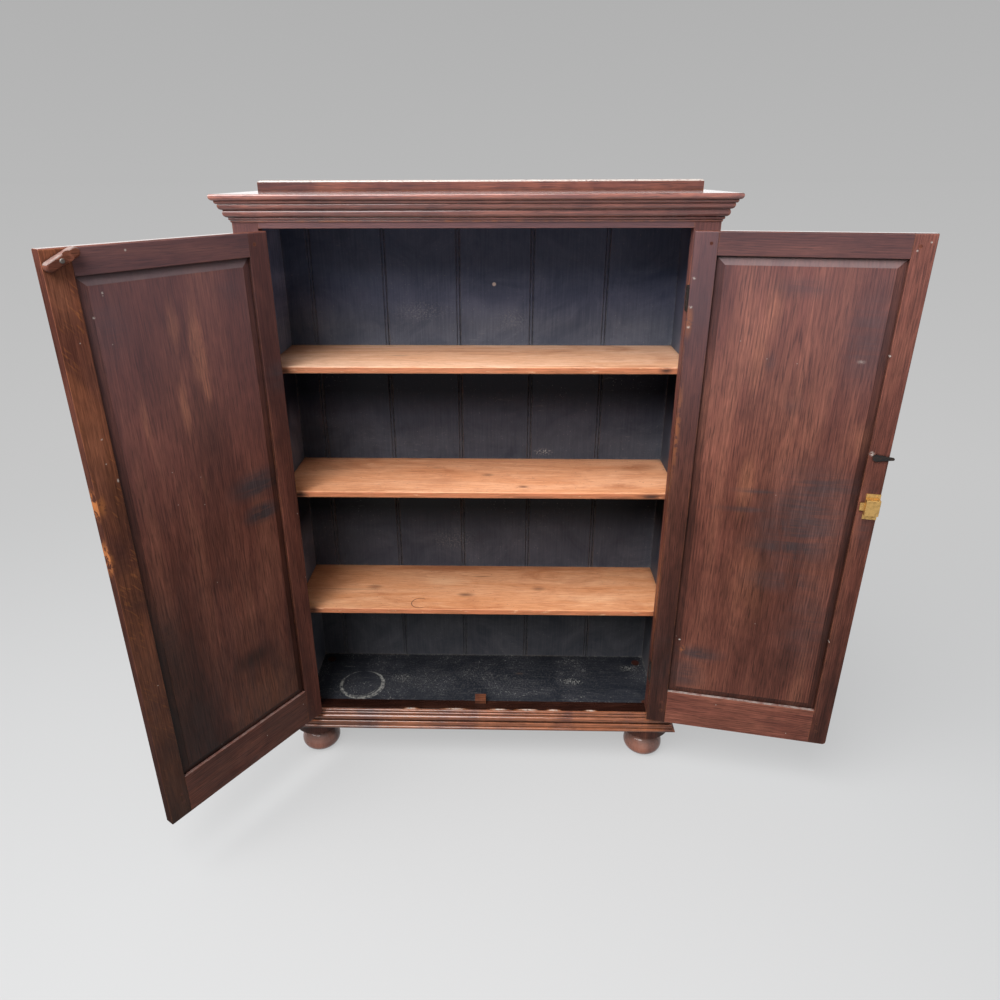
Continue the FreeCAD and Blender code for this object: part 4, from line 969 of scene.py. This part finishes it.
class KAS_OT_fasteners(bpy.types.Operator):
    """Drive slotted screws into the hinge leaves and the lock, and pins round the keyhole plate"""
    bl_idname = "kas.fasteners"
    bl_label = "Screws and pins"

    def execute(self, context):
        tint = colours()
        steel = metal("screw_steel", tint.steel, tint.rust, 0.36, 0.8)
        brass = metal("screw_brass", tint.brass, tint.brass_dull, 0.32, 0.8)
        self.hinges("left", -1, LEFT_DOOR, steel)
        self.hinges("right", 1, RIGHT_DOOR, steel)
        self.lock(brass)
        return {"FINISHED"}

    def hinges(self, side, sign, body, steel):
        """Screws of the two hinges of a door, on their frame leaves and on their door leaves."""
        size = sizes()
        pin, turn = body
        low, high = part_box(f"{side}_door_hinge_frame_leaves")
        face = min(abs(low[0]), abs(high[0]))
        depth = high[1] - size.leaf_margin
        levels = [middle + step for middle in (low[2] + size.leaf_half, high[2] - size.leaf_half)
                  for step in (-size.leaf_pitch, 0.0, size.leaf_pitch)]
        turns = [LEAF_SLOT_TURN + LEAF_SLOT_STEP * i for i in range(len(levels))]
        points = [Vector((sign * face, depth, level)) for level in levels]
        screws = self.heads(f"{side}_frame_leaf_screws", points, Vector((-sign, 0, 0)), turns,
                            size.leaf_screw, size.leaf_proud)
        self.dress(screws, steel, "carcase", "steel_screw")
        shut = [Vector((sign * (abs(pin.x) * 2 - face), depth, level)) for level in levels]
        points = [self.opened(body, point - pin) for point in shut]
        out = Matrix.Rotation(turn, 3, "Z") @ Vector((sign, 0, 0))
        screws = self.heads(f"{side}_door_leaf_screws", points, out, turns, size.leaf_screw, size.leaf_proud)
        self.dress(screws, steel, f"{side}_door", "steel_screw")

    def opened(self, body, point):
        """A point of a door's own frame, where the open door has it."""
        pin, turn = body
        return pin + Matrix.Rotation(turn, 3, "Z") @ point

    def own_box(self, body, node):
        """Low and high corner of a node in its door's own frame."""
        pin, turn = body
        back = Matrix.Rotation(-turn, 3, "Z")
        axes = list(zip(*[back @ (vertex.co - pin) for vertex in NODES[node].data.vertices]))
        return [min(axis) for axis in axes], [max(axis) for axis in axes]

    def lock(self, brass):
        """Four round-headed screws on the lock's plate and two pins on the keyhole plate."""
        size = sizes()
        inward = Matrix.Rotation(RIGHT_DOOR[1], 3, "Z") @ Vector((0, 1, 0))
        low, high = self.own_box(RIGHT_DOOR, "lock_case")
        plate = low[1] + size.lock_plate
        points = [self.opened(RIGHT_DOOR, Vector((x, plate, z)))
                  for x in (low[0] + size.lock_margin, high[0] - size.lock_margin)
                  for z in (low[2] + size.lock_flange, high[2] - size.lock_flange)]
        screws = self.heads("lock_screws", points, inward, LOCK_SLOT_TURNS, size.lock_screw, size.lock_proud)
        self.dress(screws, brass, "right_door", "brass")
        low, high = self.own_box(RIGHT_DOOR, "lock_escutcheon")
        middle = (low[0] + high[0]) / 2
        points = [self.opened(RIGHT_DOOR, Vector((middle, low[1], z)))
                  for z in (low[2] + size.pin_margin, high[2] - size.pin_margin)]
        pins = self.heads("keyhole_plate_pins", points, -inward, None, size.plate_pin, size.lock_proud)
        self.dress(pins, brass, "right_door", "brass")

    def heads(self, name, points, out, slots, radius, proud):
        """Copies of one crowned head, slotted at the given turns or plain, joined into one piece."""
        head = self.head(radius, proud, slots is not None)
        facing = out.to_track_quat("Z", "Y").to_matrix().to_4x4()
        made = []
        for i, point in enumerate(points):
            self.choose(head)
            bpy.ops.object.duplicate(linked=False)
            spin = Matrix.Rotation(slots[i] if slots else 0.0, 4, "Z")
            copied = bpy.context.active_object
            copied.matrix_world = Matrix.Translation(point) @ facing @ spin
            made.append(copied)
        bpy.data.objects.remove(head)
        self.choose(*made)
        bpy.ops.object.join()
        bpy.ops.object.transform_apply(location=True, rotation=True, scale=True)
        bpy.ops.object.shade_smooth_by_angle(angle=sizes().smooth_angle)
        made[0].name = name
        return made[0]

    def choose(self, *pieces):
        """Select some objects only, the first one active."""
        bpy.ops.object.select_all(action="DESELECT")
        for piece in pieces:
            piece.select_set(True)
        bpy.context.view_layer.objects.active = pieces[0]

    def head(self, radius, proud, slotted):
        """One head, its rim half bedded, its crown drawn up by insets."""
        bpy.ops.object.select_all(action="DESELECT")
        bpy.ops.mesh.primitive_cylinder_add(vertices=HEAD_SIDES, radius=radius, depth=HEAD_RIM * proud)
        made = bpy.context.active_object
        for face in made.data.polygons:
            face.select = face.normal.z > 0.9
        bpy.ops.object.mode_set(mode="EDIT")
        for lift in CROWN_LIFTS:
            bpy.ops.mesh.inset(thickness=radius * CROWN_INSET)
            bpy.ops.transform.translate(value=(0.0, 0.0, lift * proud))
        bpy.ops.object.mode_set(mode="OBJECT")
        if slotted:
            self.slot(made, radius, proud)
        return made

    def slot(self, made, radius, proud):
        """Cut a straight slot across a head."""
        bpy.ops.object.select_all(action="DESELECT")
        bpy.ops.mesh.primitive_cube_add(size=1.0, location=(0, 0, proud))
        cutter = bpy.context.active_object
        bpy.ops.transform.resize(value=(radius * SLOT_LENGTH, radius * SLOT_WIDTH, proud * SLOT_DEPTH))
        bpy.ops.object.transform_apply(location=True, rotation=True, scale=True)
        self.choose(made)
        bpy.ops.object.modifier_add(type="BOOLEAN")
        cut = made.modifiers[-1]
        cut.operation = "DIFFERENCE"
        cut.object = cutter
        bpy.ops.object.modifier_apply(modifier=cut.name)
        bpy.data.objects.remove(cutter)

    def dress(self, piece, made, body, slot):
        piece.data.materials.clear()
        piece.data.materials.append(made)
        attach(piece, body)


class KAS_OT_stage(bpy.types.Operator):
    """Set up the floor, the soft light and the camera"""
    bl_idname = "kas.stage"
    bl_label = "Stage"

    def execute(self, context):
        self.floor()
        self.world(context.scene)
        self.lamp(context.scene)
        self.camera(context.scene)
        context.scene.view_settings.view_transform = "Standard"
        return {"FINISHED"}

    def floor(self):
        """A plain floor that glows more the further it is from the camera, to meet the backdrop."""
        tint = colours()
        bpy.ops.object.select_all(action="DESELECT")
        bpy.ops.mesh.primitive_plane_add(size=sizes().floor_width)
        ground = bpy.context.active_object
        ground.name = "studio_floor"
        lit = Finish("studio_floor")
        reach = measure("DISTANCE", lit.coords, sizes().camera_place)
        shade = sums("DIVIDE", sizes().camera_place[2], reach).ramp(
            (0.0, tint.backdrop_low), (0.36, tint.floor_middle), (0.90, tint.floor_near))
        glow = add(lit.tree, "Emission", 0, {"Color": shade, "Strength": 1.0})
        path = add(lit.tree, "LightPath", "Is Camera Ray")
        seen = sums("MAXIMUM", path, path.beside("Is Glossy Ray"))
        share = seen * reach.fade(1.8, 5.0, 0.62, 1.0)
        lit.shade = blend(seen, tint.floor, tint.floor_lit)
        lit.surface = add(lit.tree, "MixShader", 0, {0: share, 1: lit.shader, 2: glow})
        ground.data.materials.append(lit.done(Roughness=0.9, Specular_IOR_Level=0.0))

    def world(self, scene):
        """Soft light all round, stronger low behind, and the backdrop that the camera sees."""
        tint = colours()
        world = bpy.data.worlds.new("studio_light")
        scene.world = world
        world.use_nodes = True
        tree = world.node_tree
        tree.nodes.clear()
        around = add(tree, "TexCoord", "Generated")
        up = around.part("Z")
        light = up.fade(-0.1, 1.0, kind="LINEAR").ramp((0.0, tint.sky_low), (1.0, tint.sky_high))
        behind = around.part("Y").fade(0.1, 0.7) * up.fade(0.60, 0.15)
        light = blend(behind, light, tint.sky_rim)
        strength = sums("MULTIPLY_ADD", behind, sizes().rim_strength, sizes().sky_strength)
        soft = add(tree, "Background", 0, {"Color": light, "Strength": strength})
        shade = up.fade(0.0, 0.18, kind="LINEAR").ramp((0.0, tint.backdrop_low), (1.0, tint.backdrop_high))
        seen = add(tree, "Background", 0, {"Color": shade, "Strength": 1.0})
        path = add(tree, "LightPath", "Is Camera Ray")
        output = tree.nodes.new("ShaderNodeOutputWorld")
        give(output.inputs["Surface"], add(tree, "MixShader", 0, {0: path, 1: soft, 2: seen}))

    def lamp(self, scene):
        """A large soft lamp in front, to the left and above."""
        key = bpy.data.lights.new("key_lamp", "AREA")
        key.shape = "SQUARE"
        key.size = sizes().key_width
        key.energy = sizes().key_power
        lamp = bpy.data.objects.new("key_lamp", key)
        scene.collection.objects.link(lamp)
        lamp.location = sizes().key_place
        aim = Vector(sizes().key_aim) - Vector(sizes().key_place)
        lamp.rotation_euler = aim.to_track_quat("-Z", "Y").to_euler()

    def camera(self, scene):
        """The camera that fits the photo: its place, its angles and the shift of its lens."""
        lens = bpy.data.cameras.new("camera")
        lens.lens = sizes().lens
        lens.sensor_width = sizes().sensor
        lens.shift_x = sizes().shift_x
        lens.shift_y = sizes().shift_y
        lens.clip_end = sizes().sight
        yaw, pitch, roll = sizes().camera_turn
        forward = Vector((math.sin(yaw) * math.cos(pitch), math.cos(yaw) * math.cos(pitch), math.sin(pitch)))
        right = Vector((math.cos(yaw), -math.sin(yaw), 0.0))
        up = right.cross(forward)
        across = right * math.cos(roll) + up * math.sin(roll)
        upward = up * math.cos(roll) - right * math.sin(roll)
        turn = Matrix((across, upward, -forward)).transposed().to_4x4()
        viewer = bpy.data.objects.new("camera", lens)
        scene.collection.objects.link(viewer)
        viewer.matrix_world = Matrix.Translation(sizes().camera_place) @ turn
        scene.camera = viewer


class KAS_PT_panel(bpy.types.Panel):
    """Steps that dress the cupboard"""
    bl_idname = "KAS_PT_panel"
    bl_label = "Kas cupboard"
    bl_space_type = "VIEW_3D"
    bl_region_type = "UI"
    bl_category = "Kas"

    def draw(self, context):
        for step in STEPS:
            self.layout.operator(step.bl_idname)
        for group in (context.scene.kas_colours, context.scene.kas_sizes):
            box = self.layout.box()
            for name in group.__annotations__:
                box.prop(group, name)


STEPS = (KAS_OT_carcase, KAS_OT_interior, KAS_OT_shelves, KAS_OT_doors, KAS_OT_fittings, KAS_OT_fasteners,
         KAS_OT_stage)
CLASSES = (KasColours, KasSizes, *STEPS, KAS_PT_panel)


def register():
    for item in CLASSES:
        bpy.utils.register_class(item)
    bpy.types.Scene.kas_colours = bpy.props.PointerProperty(type=KasColours)
    bpy.types.Scene.kas_sizes = bpy.props.PointerProperty(type=KasSizes)


def unregister():
    del bpy.types.Scene.kas_sizes
    del bpy.types.Scene.kas_colours
    for item in reversed(CLASSES):
        bpy.utils.unregister_class(item)


def main():
    register()
    bpy.ops.kas.carcase()
    bpy.ops.kas.interior()
    bpy.ops.kas.shelves()
    bpy.ops.kas.doors()
    bpy.ops.kas.fittings()
    bpy.ops.kas.fasteners()
    bpy.ops.kas.stage()


if __name__ == "__main__":
    main()
